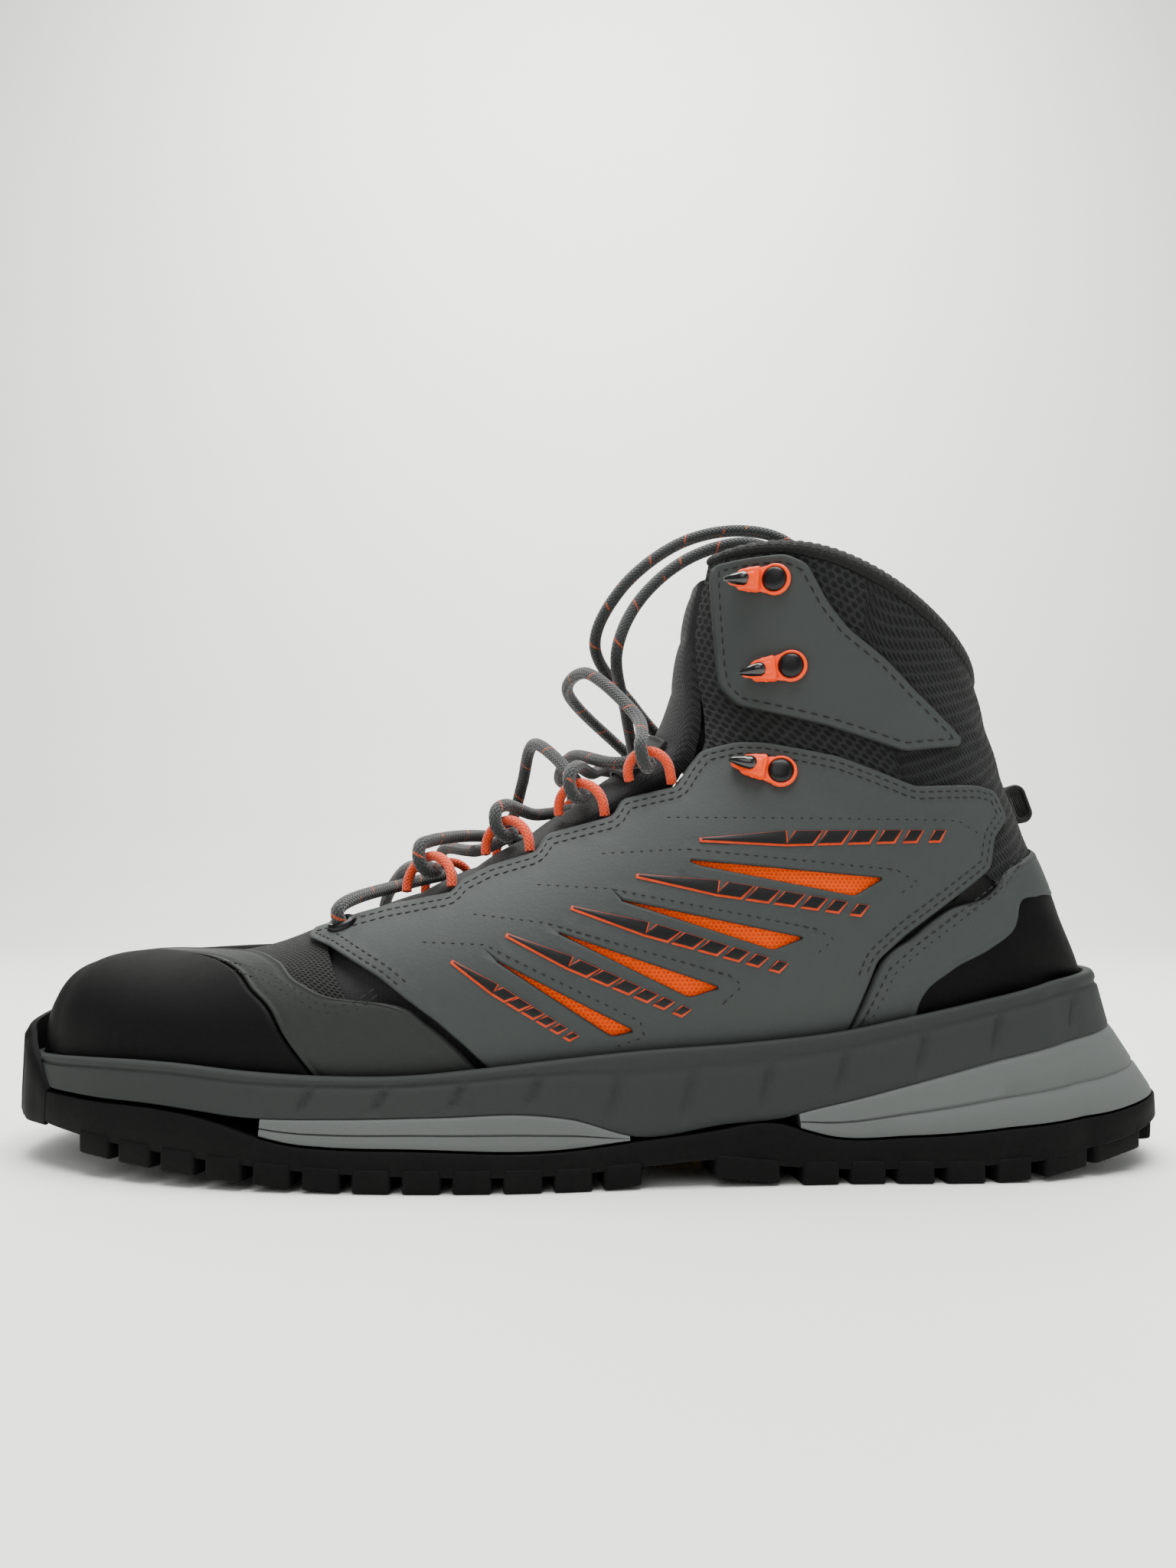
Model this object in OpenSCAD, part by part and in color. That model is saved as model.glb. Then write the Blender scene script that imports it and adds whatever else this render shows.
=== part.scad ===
// Mid-cut hiking boot for the left foot, toe towards -X, lateral side towards -Y, standing on its sole.
// The upper is one smooth surface. Each point of it lies on a line from the sole or the back (0) to the
// instep or the shin (1). The lines stand upright over the toes and fan round a pivot above the instep.

/* [Overall] */
// Length from the toe bumper to the back of the heel
boot_length = 296; // [240:1:350]
// Width across the ball of the sole
sole_width = 108; // [86:1:130]
// Height of the collar above the ground
boot_height = 155; // [130:1:185]

/* [Upper] */
// Thickness of the leather panels
panel_t = 1.3; // [0.8:0.1:1.8]
// Thickness of the rubber toe cap
cap_t = 1.5; // [1:0.1:2]
// Thickness of the woven textile
mesh_t = 0.8; // [0.5:0.1:1]
// Thickness of the smooth inner lining
lining_t = 1.2; // [0.8:0.1:1.6]
// Thickness of the foam around the ankle
foam_t = 4.5; // [3:0.5:6]
// Thickness of the toe puff and the heel counter
stiffener_t = 0.9; // [0.6:0.1:1.2]
// Gap between two layers that are glued or sewn in the real boot
gap = 0.3; // [0.25:0.05:0.4]

/* [Sole] */
// Thickness of the midsole's lip around the upper
lip_t = 2.6; // [2:0.1:4]
// Depth of the tread between the lugs
tread_depth = 4; // [2.5:0.5:5]
// Thickness of the toe bumper
bumper_t = 2.2; // [1.5:0.1:3]
// Thickness of the board under the lining
board_t = 1.8; // [1.2:0.1:2.2]
// Thickness of the removable footbed
footbed_t = 4; // [3:0.5:6]

/* [Lacing] */
// Diameter of the round lace
lace_d = 3.4; // [3:0.1:3.6]
// Diameter of the cord that the lace loops are made of
loop_cord_d = 2.6; // [2:0.1:3]
// Length of a hook's base plate
hook_l = 16.5; // [14:0.5:18]
// Width of a hook's base plate
hook_w = 8; // [7:0.5:9]
// Diameter of a hook's rivet head
rivet_d = 6.2; // [5:0.1:7]
// Diameter of a hook's rivet shank
shank_d = 2.4; // [2:0.1:3]

/* [Hidden] */

last_length = 296;
last_width = 108;
last_height = 155;
kx = boot_length / last_length;
ky = sole_width / last_width;
kz = boot_height / last_height;
lateral = -1;
medial = 1;
both = [lateral, medial];

// Where the layers lie, measured outwards from the last surface
skin_in = gap;
panel_out = skin_in + panel_t;
cap_out = skin_in + cap_t;
mesh_out = -0.3;
mesh_in = mesh_out - mesh_t;
stiff_out = mesh_in - gap;
stiff_in = stiff_out - stiffener_t;
seat_off = cap_out + gap;
lining_off = stiff_in - 2 * gap;

// ---- The last: [fan distance, front radius, back radius, half width, share at the sole, widest place]
pivot = [-60, 178];
fan_r = 100;
toe_a = -81.5;
last = [
    [-81.5, 146, 155.5, 0, 0.93, 0.32], [-80.2, 140.5, 155.7, 11.5, 0.93, 0.32],
    [-77.2, 135, 156, 19.5, 0.93, 0.32], [-71, 131, 156.5, 27.5, 0.93, 0.32],
    [-60, 128.7, 157.2, 35.5, 0.94, 0.32], [-45, 128, 157.8, 42, 0.95, 0.31],
    [-25, 125, 158.3, 47, 0.95, 0.3], [0, 115.5, 158.4, 49.5, 0.94, 0.3],
    [25, 108, 163, 49, 0.92, 0.3], [50, 103.5, 177.8, 45, 0.88, 0.32],
    [70, 102.5, 197.5, 41.5, 0.83, 0.36], [85, 103, 221, 38.5, 0.78, 0.4],
    [90, 102, 232, 37.8, 0.55, 0.42], [93, 101, 235, 37.2, 0, 0.43],
    [100, 98, 218.5, 36, 0, 0.45], [110, 94.5, 193.5, 35, 0, 0.47],
    [120, 92.5, 178, 35.5, 0, 0.48], [130, 91.5, 170.5, 37, 0, 0.48],
    [140, 91, 165.5, 38, 0, 0.48]];
front_round = 2.3;
side_round = 2.2;

function clamp(v, low, high) = max(low, min(high, v));
function mix(a, b, s) = a + (b - a) * s;
function steps(n) = [for (i = [0:n]) i / n];

// A smooth curve through the rows of a table, whose first column is the place along it
function grade(t, i) = (t[i + 1] - t[i]) / (t[i + 1][0] - t[i][0]);
function width(t, i) = t[i + 1][0] - t[i][0];
function slope(t, i) =
    i == 0 ? grade(t, 0)
    : i == len(t) - 1 ? grade(t, i - 1)
    : (grade(t, i - 1) * width(t, i) + grade(t, i) * width(t, i - 1)) / (width(t, i) + width(t, i - 1));
function curve(t, x) =
    let (i = clamp(len([for (row = t) if (row[0] <= x) 1]) - 1, 0, len(t) - 2),
        h = width(t, i),
        s = clamp((x - t[i][0]) / h, 0, 1))
    (2 * pow(s, 3) - 3 * s * s + 1) * t[i] + (pow(s, 3) - 2 * s * s + s) * h * slope(t, i)
    + (3 * s * s - 2 * pow(s, 3)) * t[i + 1] + (pow(s, 3) - s * s) * h * slope(t, i + 1);

// How far the toe end moves forward with a layer's distance from the last
function toe_push(a) = a < -45 ? pow((-45 - a) / (-45 - toe_a), 2) : 0;

// The forefoot turns inwards, towards the big toe
function swing(x) = 6 * pow(max(0, 10 - x / kx) / 155, 2) - 0.6;
function section(a, off) =
    let (s = curve(last, a))
    [s[1] - off / kz, s[2] + off / kz, s[3] * ky + off * min(1, s[3] / 20), s[4], s[5]];
function profile(s, tau) =
    let (up = clamp((tau - s[4]) / (1 - s[4]), 0, 1), down = clamp((s[4] - tau) / s[4], 0, 1))
    tau >= s[4] ? pow(1 - pow(up, front_round), 1 / side_round)
    : pow(1 - (1 - pow(clamp(s[3], 0, 1), side_round)) * pow(down, front_round), 1 / side_round);
function fan_point(a, r) =
    a < 0 ? [pivot[0] + a, pivot[1] - r]
    : let (f = a / fan_r * 180 / PI) [pivot[0] + r * sin(f), pivot[1] - r * cos(f)];
function to_fan(x, z) =
    x < pivot[0] ? [x - pivot[0], pivot[1] - z]
    : [fan_r * atan2(x - pivot[0], pivot[1] - z) * PI / 180, norm([x - pivot[0], pivot[1] - z])];

// A point of a layer from its fan distance and its share from back to front
function layer_point(a, tau, off, side) =
    let (s = section(a, off), p = fan_point(a, s[1] - tau * (s[1] - s[0])))
    let (x = p[0] * kx - off * toe_push(a)) [x, side * s[2] * profile(s, tau) + swing(x), p[1] * kz];

// The half width of a layer at a place in the side view
function share_at(x, z, off) =
    let (x0 = x / kx, push = toe_push(x0 - pivot[0] + off),
        f = to_fan((x + off * push) / kx, z / kz), s = section(f[0], off))
    (s[1] - f[1]) / (s[1] - s[0]);
function half_width(x, z, off) =
    let (x0 = x / kx, push = toe_push(x0 - pivot[0] + off),
        f = to_fan((x + off * push) / kx, z / kz), s = section(f[0], off),
        tau = (s[1] - f[1]) / (s[1] - s[0]))
    tau < 0 || tau > 1 ? 0 : s[2] * profile(s, tau);
function on_layer(p, off, side) =
    [p[0] * kx, side * half_width(p[0] * kx, p[1] * kz, off) + swing(p[0] * kx), p[1] * kz];

// ---- Solids from grids of points
function flat(rows) = [for (row = rows) each row];
function turned(faces, flip) = flip ? [for (f = faces) [f[0], f[2], f[1]]] : faces;

// A wall between two grids of the same size, closed along its edges. Where the first row draws in to a
// line the two skins close there by themselves, and nose is true.
module wall(outer, inner, flip = false, nose = false) {
    rows = len(outer);
    cols = len(outer[0]);
    n = rows * cols;
    faces = [
        for (i = [0:rows - 2], j = [0:cols - 2])
            let (a = i * cols + j, b = a + cols)
            each [[a, b, b + 1], [a, b + 1, a + 1], [a + n, b + 1 + n, b + n], [a + n, a + 1 + n, b + 1 + n]],
        for (i = [0:rows - 2])
            let (a = i * cols, b = a + cols, c = a + cols - 1, d = c + cols)
            each [[b, a, a + n], [b, a + n, b + n], [c, d, d + n], [c, d + n, c + n]],
        if (!nose) for (j = [0:cols - 2]) each [[j, j + 1, j + 1 + n], [j, j + 1 + n, j + n]],
        for (j = [0:cols - 2])
            let (c = (rows - 1) * cols + j)
            each [[c + 1, c, c + n], [c + 1, c + n, c + 1 + n]]];
    polyhedron(concat(flat(outer), flat(inner)), turned(faces, !flip));
}

// A skin over closed rings of points. An end that draws in to a line needs no cap.
module loft(rings, caps = [false, false]) {
    cols = len(rings[0]);
    top = (len(rings) - 1) * cols;
    faces = [
        for (i = [0:len(rings) - 2], j = [0:cols - 1])
            let (a = i * cols + j, b = i * cols + (j + 1) % cols)
            each [[a, b, b + cols], [a, b + cols, a + cols]],
        if (caps[0]) for (j = [1:cols - 2]) [0, j + 1, j],
        if (caps[1]) for (j = [1:cols - 2]) [top, top + j, top + j + 1]];
    polyhedron(flat(rings), faces);
}

// A round tube along a list of points, with its rings square to the path
function unit(v) = v / norm(v);
function along(path, i) = unit(path[min(i + 1, len(path) - 1)] - path[max(i - 1, 0)]);
function carried(path, i) =
    i == 0 ? unit(cross(along(path, 0), [0.31, 0.17, 0.94]))
    : let (before = carried(path, i - 1), t = along(path, i)) unit(before - t * (before * t));
module tube(path, d, sides = 8) {
    ring_frames = [for (i = [0:len(path) - 1]) carried(path, i)];
    loft([for (i = [0:len(path) - 1])
        let (u = ring_frames[i], v = cross(along(path, i), u))
        [for (k = [0:sides - 1])
            let (f = -360 * k / sides) path[i] + d / 2 * (u * cos(f) + v * sin(f))]], caps = [true, true]);
}

// Places a part on the upper: x along heading, z along the outward normal
function normal_at(p, side) =
    let (h = 0.5,
        dx = half_width(p[0] * kx + h, p[1] * kz, panel_out) - half_width(p[0] * kx - h, p[1] * kz, panel_out),
        dz = half_width(p[0] * kx, p[1] * kz + h, panel_out) - half_width(p[0] * kx, p[1] * kz - h, panel_out))
    unit([-dx, side * 2 * h, -dz]);
module placed(origin, x_axis, z_axis) {
    z = unit(z_axis);
    x = unit(x_axis - z * (x_axis * z));
    y = cross(z, x);
    multmatrix([[x[0], y[0], z[0], origin[0]], [x[1], y[1], z[1], origin[1]],
        [x[2], y[2], z[2], origin[2]]]) children();
}

// ---- Sole lines in the side view: [x, height]
lip_line = [[-150, 25], [-129, 26.5], [-97, 27], [-77, 25.6], [-59, 24.8], [-40, 25], [-25, 26.4], [-5, 28.5],
    [12, 30], [37, 31.5], [61, 34], [76, 37], [97, 41.3], [116, 45.3], [135, 47.5], [150, 49]];
floor_line = [[-150, 21.4], [-137, 20.4], [-120, 19.2], [-85, 18.1], [-60, 18], [-20, 18.5], [26, 20.7],
    [40, 22.1], [68, 25.9], [107, 31.4], [123, 33.1], [135, 37]];
seam_line = [[-150, 20], [-130, 18.8], [-115, 18.2], [-100, 17.8], [-88, 16.8], [-80, 16], [-56, 15.8],
    [-33, 16.3], [-12, 16.6], [-4, 15.6], [11, 11.4], [31, 13.6], [45, 14.8], [52, 16.5], [62, 18.6],
    [76, 22.1], [96, 27], [122, 32], [138, 34], [150, 34.5]];
top_line = [[-150, 19.6], [-130, 18.4], [-115, 17.8], [-100, 17.4], [-90, 16.3], [-82, 14.6], [-74, 12.2],
    [-66, 10.6], [-58, 10], [-40, 9.7], [-5, 9.3], [11, 10.9], [31, 13.2], [37, 14.2], [44, 14], [49, 12.5],
    [55, 10.9], [75, 10.8], [104, 13], [124, 14.8], [135, 16.2], [150, 17.5]];
ground_line = [[-150, 8.5], [-135, 7], [-120, 5.4], [-102, 3.8], [-79, 1.9], [-62, 0.6], [-48, 0], [0, 0],
    [16, 1.2], [30, 2], [38, 1], [48, 0], [92, 0], [104, 0.8], [119, 3], [136, 6], [150, 8.5]];
// How far the side flares out below the lip: [x, at the seam, at the bottom]
flare = [[-150, 0.2, 0.3], [-100, 0.5, 0.8], [-60, 1, 1.8], [-20, 1, 2.2], [20, 0.6, 1], [50, 0.6, 1.8],
    [90, 1.2, 4], [120, 2.4, 8.5], [132, 3.2, 14.5], [150, 3.2, 17]];
function height_of(line, x) = max(0, curve(line, x / kx)[1]) * kz;

// The upper's seat in the sole, for s from 0 at the toe to 1 at the heel and depth from 0 at the lip to 1
function seat_z(x, depth) = mix(height_of(lip_line, x), height_of(floor_line, x), depth);
function back_end(depth, low, high, n) =
    let (x = (low + high) / 2)
    n == 0 ? x
    : share_at(x, seat_z(x, depth), seat_off) > 0 ? back_end(depth, x, high, n - 1)
    : back_end(depth, low, x, n - 1);
seat_depths = [0, 0.5, 1];
seat_x0 = (pivot[0] + toe_a) * kx - seat_off;
seat_x1 = [for (depth = seat_depths) back_end(depth, 90 * kx, 150 * kx, 16)];
function seat(s, level) =
    let (x = mix(seat_x0, seat_x1[level], (1 - cos(180 * s)) / 2), z = seat_z(x, seat_depths[level]))
    [x, s <= 0 || s >= 1 ? 0 : max(half_width(x, z, seat_off), half_width(x, z + 1, seat_off)), z];
function seat_s(x) = acos(clamp(1 - 2 * (x - seat_x0) / (seat_x1[0] - seat_x0), -1, 1)) / 180;
function plan(s) = let (p = seat(abs(s > 1 ? 2 - s : s), 0)) [p[0], (s < 0 || s > 1 ? -1 : 1) * p[1]];
function outward(s) = let (d = plan(s + 0.01) - plan(s - 0.01)) unit([-d[1], d[0]]);
function edge_xy(s, out, side) =
    let (p = plan(s) + outward(s) * out) [p[0], side * (s <= 0 || s >= 1 ? 0 : p[1]) + swing(p[0])];
function sole_point(s, out, column, line, dz, side) =
    let (x = plan(s)[0], e = edge_xy(s, lip_t + (column == 0 ? 0 : curve(flare, x / kx)[column]) + out, side))
    [e[0], e[1], height_of(line, e[0]) + dz];

// ---- Sole
tread_ends = [-138, 138];
lug_pitch = 11;
lug_gap = 2.4;
lug_depth_in = 13;
sole_out = 0.6;
function plate_point(s, side) = sole_point(s, sole_out, 2, ground_line, tread_depth, side);
module tread_plate() {
    loft([for (s = steps(56)) [
        plate_point(s, lateral), sole_point(s, sole_out, 2, top_line, -2 * gap, lateral),
        sole_point(s, sole_out, 2, top_line, -2 * gap, medial), plate_point(s, medial)]]);
}
// A block from the plate down to the ground, along the edge between x0 and x1
module edge_lug(x0, x1, side) {
    ss = [seat_s(x0 * kx), seat_s(x1 * kx)];
    function ring(in, taper, dz) = [
        sole_point(ss[0], sole_out - taper, 2, ground_line, dz, side),
        sole_point(ss[1], sole_out - taper, 2, ground_line, dz, side),
        sole_point(ss[1], sole_out - in, 2, ground_line, dz, side),
        sole_point(ss[0], sole_out - in, 2, ground_line, dz, side)];
    hull() loft([ring(lug_depth_in, 0.05, tread_depth + 1.2), ring(lug_depth_in - 1, 0.5, 0)], caps = [true, true]);
}
// An arrow-shaped block on the middle of the sole
module arrow_lug(x, y, w) {
    z = height_of(ground_line, x * kx);
    translate([x * kx, y * ky + swing(x * kx), z])
        hull() linear_extrude(height = tread_depth + 1.2)
            polygon([[-w / 2, 0], [0, -w * 0.7], [w / 2, -w * 0.4], [w / 2, w * 0.4], [0, w * 0.7]]);
}
bumper_reach = 0.145;
module toe_bumper() {
    wall([for (r = steps(5)) [for (s = steps(14)) bumper_point(2 * s - 1, r, bumper_t)]],
        [for (r = steps(5)) [for (s = steps(14)) bumper_point(2 * s - 1, r, 0)]]);
}
function bumper_point(v, r, t) =
    let (s = abs(v) * bumper_reach, side = v < 0 ? lateral : medial,
        top = mix(35, 19, pow(abs(v), 2.2)) * kz, p = edge_xy(s, lip_t + gap + t * (1 - 0.5 * pow(abs(v), 4)), side))
    [p[0] + (r > 0.9 ? 0.6 : 0), p[1], mix(10 * kz, top, r)];
module outsole() color([0.03, 0.03, 0.035]) union() {
    tread_plate();
    toe_bumper();
    for (side = both) {
        for (x = [-118:lug_pitch:10]) edge_lug(x, x + lug_pitch - lug_gap, side);
        edge_lug(28, 43, side);
        for (x = [48:lug_pitch:130]) edge_lug(x, x + lug_pitch - lug_gap, side);
    }
    for (x = [-112:13:0], y = [-14, 14]) arrow_lug(x + (y > 0 ? 4 : -3), y, 12);
    for (x = [58:13:112]) arrow_lug(x, x % 2 == 0 ? -7 : 7, 12);
}
module arch_inlay() color("gold")
    translate([22 * kx, swing(22 * kx), 0])
        linear_extrude(height = height_of(ground_line, 22 * kx) + tread_depth - 1)
            polygon([[-5, -20 * ky], [6, -24 * ky], [6, 24 * ky], [-5, 20 * ky]]);

function cup_half(s, side) = [
    sole_point(s, 0, 1, seam_line, gap, side), sole_point(s, 0, 0, lip_line, 0, side),
    for (k = [0:2])
        let (p = seat(s, k)) [p[0], side * p[1] + swing(p[0]), p[2]]];
function backwards(l) = [for (i = [len(l) - 1:-1:0]) l[i]];
module midsole_upper() color([0.32, 0.33, 0.33])
    loft([for (s = steps(44)) concat(cup_half(s, lateral), backwards(cup_half(s, medial)))]);

// A light wedge under the cup, between two places along the sole
module wedge(x0, x1, n) {
    ss = [seat_s(x0 * kx), seat_s(x1 * kx)];
    loft([for (k = steps(n)) let (s = mix(ss[0], ss[1], k)) [
        sole_point(s, 0, 2, top_line, 0, lateral), sole_point(s, 0, 1, seam_line, 0, lateral),
        sole_point(s, 0, 1, seam_line, 0, medial), sole_point(s, 0, 2, top_line, 0, medial)]], caps = [true, x1 < 100]);
}
module midsole_forefoot() color([0.5, 0.51, 0.5]) wedge(-73, 9, 18);
module midsole_heel() color([0.5, 0.51, 0.5]) wedge(48, 200, 22);

// ---- Inside the sole. The plates follow the bottom of the last
shank_t = 0.7;
board_low = -0.2;
board_high = board_low - board_t;
bed_low = lining_off - lining_t - gap;
bed_high = bed_low - footbed_t;
module plate(a0, a1, low, high, share, n) {
    function at(a, off, side) = let (p = layer_point(a, 0, off, side), mid = swing(p[0]))
        [p[0], mid + (p[1] - mid) * share, p[2]];
    loft([for (k = steps(n)) let (a = mix(a0, a1, k)) [
        at(a, low, lateral), at(a, high, lateral), at(a, high, medial), at(a, low, medial)]], caps = [true, true]);
}
module shank_plate() color("silver") plate(30, 55, board_low + gap + shank_t, board_low + gap, 0.35, 6);
module insole_board() color("tan") plate(-75, 84, board_low, board_high, 0.94, 26);
module footbed() color([0.2, 0.2, 0.22]) plate(-73, 83, bed_low, bed_high, 0.93, 26);

// ---- The throat and the rim on the upper: shares at the throat's edge, fan distances at the rim
throat_line = [[-14, 0.985], [-10, 0.965], [0, 0.93], [23, 0.885], [62, 0.875], [77, 0.87], [92, 0.92],
    [107, 0.95], [140, 0.95]];
throat_a = -10;
function edge_share(a) = curve(throat_line, a)[1];
function rim_a(tau) = 123 + 9.9 * sin(140 * pow(tau, 1.2));
function collar_low(tau) = 106 - 12 * tau - 18 * pow(tau, 4);
function lip_share(a) =
    let (p = fan_point(a, section(a, 0)[1]), x = p[0] * kx)
    lip_search(a, x, 6);
function lip_search(a, x, n) =
    let (z = (height_of(lip_line, x) - 3) / kz, s = section(a, 0),
        r = a < 0 ? pivot[1] - z : (pivot[1] - z) / cos(a / fan_r * 180 / PI))
    n == 0 ? (s[1] - r) / (s[1] - s[0]) : lip_search(a, fan_point(a, r)[0] * kx, n - 1);

// A skin piece over the upper. place(v, u) gives the fan distance and share: v is 0 on the middle of
// the boot and 1 at the piece's side ends, u runs from its first edge to its last.
function skin_grid(place, rows, cols, off) =
    [for (u = steps(rows)) [for (k = steps(cols))
        let (v = 2 * k - 1, p = place(abs(v), u)) layer_point(p[0], p[1], off, v < 0 ? lateral : medial)]];
module skin(place, rows, cols, out, in, nose = false, flip = false)
    wall(skin_grid(place, rows, cols, out), skin_grid(place, rows, cols, in), flip, nose);

// A side piece from ribs: [x, z] at the top of each rib and [x, z] at its foot
function rib_grid(ribs, cols, off, side) =
    [for (rib = ribs) [for (k = steps(cols))
        on_layer([mix(rib[0], rib[2], k), mix(rib[1], rib[3], k)], off, side)]];
module ribbed(ribs, cols, out, in, side, down = false)
    wall(rib_grid(ribs, cols, out, side), rib_grid(ribs, cols, in, side), (side == lateral) != down);

// ---- Inner layers
rim_gap = 1;
function to_edge(a, v) = edge_share(a) * pow(v, 1.6);
module ankle_foam() color([0.3, 0.3, 0.3])
    skin(function (v, u) let (tau = to_edge(120, v)) [mix(109, rim_a(tau) - rim_gap, u), tau],
        7, 28, stiff_out, stiff_out - foam_t, flip = true);
module heel_counter() color([0.15, 0.15, 0.15])
    skin(function (v, u) [mix(mix(94, 78, pow(v, 1.5)), mix(104, 98, v), u), 0.35 * v * v],
        7, 32, stiff_out, stiff_in, flip = true);
module toe_puff() color([0.8, 0.78, 0.7])
    skin(function (v, u) [mix(-74, -42, u), mix(1, 0.35, 1 - cos(90 * v))], 6, 18, stiff_out, stiff_in);

// The lining is a bag: columns 0 to 3 on each side of the ridge are left out along the throat
lining_rows = [-81.5, -80.2, -77, -71, -60, -45, -28, -18, throat_a, 0, 12, 24, 36, 48, 58, 68, 77, 85, 89, 93,
    96, 100, 106, 112, 119, 127, 135];
throat_cols = 3;
side_cols = 11;
blend_a = 97;
ring_half = throat_cols + side_cols;
function column_share(a, j) =
    let (e = edge_share(max(a, throat_a)))
    j <= throat_cols ? mix(1, e, 1 - cos(90 * j / throat_cols))
    : e * (1 - (j - throat_cols) / side_cols) * (a < 88 ? 1 : mix(1, 1 - (j - throat_cols) / side_cols, 0.6));
function lining_point(a, j, t) =
    let (half = j <= ring_half, tau = column_share(a, half ? j : 2 * ring_half + 1 - j),
        top = a > blend_a ? mix(a, blend_a + (a - blend_a) * (rim_a(tau) - blend_a) / (135 - blend_a), 1) : a,
        pad = (foam_t - stiffener_t) * clamp((top - 98) / 10, 0, 1))
    layer_point(top, max(tau, 0), lining_off - pad - t, half ? lateral : medial);
module lining() color([0.12, 0.12, 0.13]) lining_bag();
module lining_bag() {
    rows = len(lining_rows);
    cols = 2 * ring_half + 2;
    n = rows * cols;
    first = len([for (a = lining_rows) if (a < throat_a) 1]);
    function kept(i, j) = i >= 0 && i < rows - 1
        && (i < first || (j >= throat_cols && j < cols - 1 - throat_cols));
    points = [for (t = [0, lining_t]) for (a = lining_rows) for (j = [0:cols - 1]) lining_point(a, j, t)];
    faces = [
        for (i = [0:rows - 2], j = [0:cols - 1])
            let (a = i * cols + j, b = i * cols + (j + 1) % cols, c = b + cols, d = a + cols,
                here = kept(i, j))
            if (here) each [
                [a, b, c], [a, c, d], [a + n, c + n, b + n], [a + n, d + n, c + n],
                if (i > 0 && !kept(i - 1, j)) each [[a, a + n, b + n], [a, b + n, b]],
                if (!kept(i + 1, j)) each [[d, c, c + n], [d, c + n, d + n]],
                if (!kept(i, (j + cols - 1) % cols)) each [[a, d, d + n], [a, d + n, a + n]],
                if (!kept(i, (j + 1) % cols)) each [[b, b + n, c + n], [b, c + n, c]]]];
    polyhedron(points, turned(faces, true));
}

// ---- Outer skins
function over(a, v) = mix(1, lip_share(a), 1 - cos(90 * v));
module vamp_mesh() color([0.12, 0.12, 0.12])
    skin(function (v, u) let (a = mix(curve(cap_edge, v)[1] - 8, mix(throat_a - 2, 10, v), u)) [a, over(a, v)],
        9, 24, mesh_out, mesh_in);
cap_edge = [[0, -61], [0.256, -36.6], [0.447, -24.5], [0.567, -19.5], [0.66, -14.7], [0.81, -9.4], [1, 0]];
overlay_edge = [[0, -50], [0.27, -24], [0.44, -14], [0.6, -6], [0.68, 2], [0.72, 10],
    [0.81, 16.4], [0.89, 20], [1, 23.6]];
module toe_cap() color([0.05, 0.05, 0.06])
    skin(function (v, u) let (a = mix(toe_a, curve(cap_edge, v)[1], pow(u, 1.5))) [a, over(a, v)],
        10, 26, cap_out, skin_in, nose = true);
module toe_overlay() color([0.25, 0.26, 0.25])
    skin(function (v, u) let (a = mix(curve(cap_edge, v)[1] + 2 * gap, curve(overlay_edge, v)[1], u)) [a, over(a, v)],
        4, 26, panel_out, skin_in);
module collar_mesh() color([0.14, 0.14, 0.14])
    skin(function (v, u) collar_place(v, u), 7, 30, mesh_out, mesh_in, flip = true);
function collar_place(v, u) =
    let (t0 = to_edge(115, v), tau = to_edge(mix(collar_low(t0), rim_a(t0), u), v))
    [mix(collar_low(tau), rim_a(tau), u), tau];
heel_top = [[0, 106, 0], [0.15, 104.5, 0.05], [0.3, 102, 0.155], [0.42, 98.3, 0.255], [0.55, 91.1, 0.347],
    [0.7, 84, 0.304], [0.85, 78.5, 0.255], [1, 69, 0.08]];
heel_low = [[0, 102.5, 0], [0.15, 101, 0.05], [0.3, 99.4, 0.135], [0.42, 95, 0.225], [0.55, 88.8, 0.245],
    [0.7, 83, 0.195], [0.85, 79.5, 0.155], [1, 76.5, 0.09]];
patch_low = [[0, 94.3, 0], [0.15, 93.5, 0.015], [0.3, 92.5, 0.04], [0.6, 86, 0.075], [1, 77.5, 0.08]];
function between(first, last, v, u) = let (p = curve(first, v), q = curve(last, v)) [mix(p[1], q[1], u), mix(p[2], q[2], u)];
module heel_overlay() color([0.35, 0.36, 0.35])
    skin(function (v, u) between(heel_top, heel_low, v, u), 3, 28, panel_out, skin_in);
module heel_patch() color([0.12, 0.12, 0.12])
    skin(function (v, u) between(heel_low, patch_low, 0.97 * v, mix(0.06, 1, u)), 3, 24, panel_out, skin_in);

// ---- Side panels
quarter_ribs = [[-69.7, 57.7, -69.3, 55.4], [-66, 58.6, -62, 53.4], [-62, 60, -55, 50], [-57.5, 61.4, -48.4, 46.6],
    [-53, 62.6, -42, 42], [-49.7, 63.5, -34.4, 36.7], [-44, 64.5, -28, 31.3], [-38, 65.6, -20, 23.5],
    [-33.6, 66.3, -10, 25], [-32.1, 69.2, -2, 25.7], [-24.6, 73.1, 5, 26.3], [-13, 76.4, 13, 27],
    [-10.9, 80.9, 19, 27.4], [6.1, 85.2, 26, 28], [8.5, 89.7, 32, 28.3], [22.1, 92.7, 38, 28.6],
    [25, 97.5, 43, 29], [28.7, 102.2, 48, 29.5], [37.4, 104, 52, 30], [44.1, 103.5, 56, 30.4],
    [61.5, 99.4, 60.4, 31], [70, 96, 68.7, 50], [80, 91.9, 76, 56.2], [88, 92.3, 87, 64], [96, 92.7, 98, 71.9],
    [101.6, 91.9, 100, 79.6], [103, 90.5, 105.2, 84.9]];
windows = [[[23.8, 73.9], [70.9, 69.5], [63.7, 65.3], [26.6, 72.6]], [[7.3, 64.4], [51, 55.4], [43.6, 52.6]],
    [[-7.5, 56.9], [30.8, 44], [23.6, 41.8]], [[-21.6, 50.6], [10.7, 34.3], [5.6, 33.1]]];
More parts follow.
